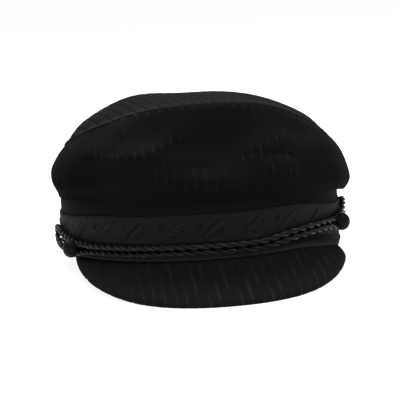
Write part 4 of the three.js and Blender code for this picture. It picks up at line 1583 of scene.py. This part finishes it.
# %% [markdown]
# The buttons are satin black, with a fine unevenness that softens their shine.

# %% Button finish
BUTTON_DARK = (0.006, 0.006, 0.006, 1)
BUTTON_PALE = (0.009, 0.009, 0.009, 1)
BUTTON_SCALE = 300


def make_button_finish():
    finish = Finish("satin black", Specular_IOR_Level=0.08)
    worn = finish.noise(BUTTON_SCALE, 3)
    colour = finish.mix(worn, BUTTON_DARK, BUTTON_PALE)
    return finish.done(colour, 0.5 + 0.15 * worn, worn, depth=0.00003)


button_finish = make_button_finish()
finish_piece(left_button, "left_button", "button", button_finish)
finish_piece(right_button, "right_button", "button", button_finish)

# %% [markdown]
# The hat stands on a pale light table, as in a product photo on white: a broad floor that glows a little, so
# only a faint shadow is left where the hat touches it. A white world lights the hat from all round, a soft
# lamp above and before it lights the front, and a stronger one above and behind it makes the top panel paler.

# %% Floor and world
FLOOR_SIZE = 40
FLOOR_GLOW = 0.92
WORLD_GLOW = 0.2

deselect()
bpy.ops.mesh.primitive_plane_add(size=FLOOR_SIZE, location=(0, 0, 0))
floor = bpy.context.object
floor.name = "floor"
floor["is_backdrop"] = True
pale = Finish("pale floor", Specular_IOR_Level=0.0, Roughness=1.0)
pale.surface.inputs["Base Color"].default_value = (0.3, 0.3, 0.3, 1)
pale.surface.inputs["Emission Color"].default_value = (1, 1, 1, 1)
pale.surface.inputs["Emission Strength"].default_value = FLOOR_GLOW
floor.data.materials.append(pale.material)

world = bpy.data.worlds.new("studio")
bpy.context.scene.world = world
world.use_nodes = True
world.node_tree.nodes["Background"].inputs["Color"].default_value = (1, 1, 1, 1)
world.node_tree.nodes["Background"].inputs["Strength"].default_value = WORLD_GLOW
print("a floor", FLOOR_SIZE, "m across, under a white world")

# %% Soft lamps
LIT_PLACE = Vector((0, 0, 0.05))


def softbox(name, place, width, power):
    """A square area lamp that looks at the hat's crown."""
    data = bpy.data.lights.new(name, "AREA")
    data.size = width
    data.energy = power
    lamp = bpy.data.objects.new(name, data)
    bpy.context.scene.collection.objects.link(lamp)
    lamp.location = place
    lamp.rotation_euler = (LIT_PLACE - lamp.location).to_track_quat("-Z", "Y").to_euler()


softbox("key", (0.2, -0.6, 1.2), 0.8, 7)
softbox("top", (0.0, 0.6, 1.0), 0.9, 26)
print("two soft lamps")

bpy.context.scene.view_settings.view_transform = "Standard"
bpy.context.scene.view_settings.look = "None"

# %% [markdown]
# Last, the corners of the box of the plain solids and of the box of the finished hat are printed.

# %% Sizes and the end
boxes = {"cad": [list(corner) for corner in cad_box], "visual": [list(corner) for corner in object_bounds()]}
for low, high, name in zip(boxes["cad"], boxes["visual"], ("lowest", "highest")):
    print(name, [round(v / MM, 1) for v in low], [round(v / MM, 1) for v in high])
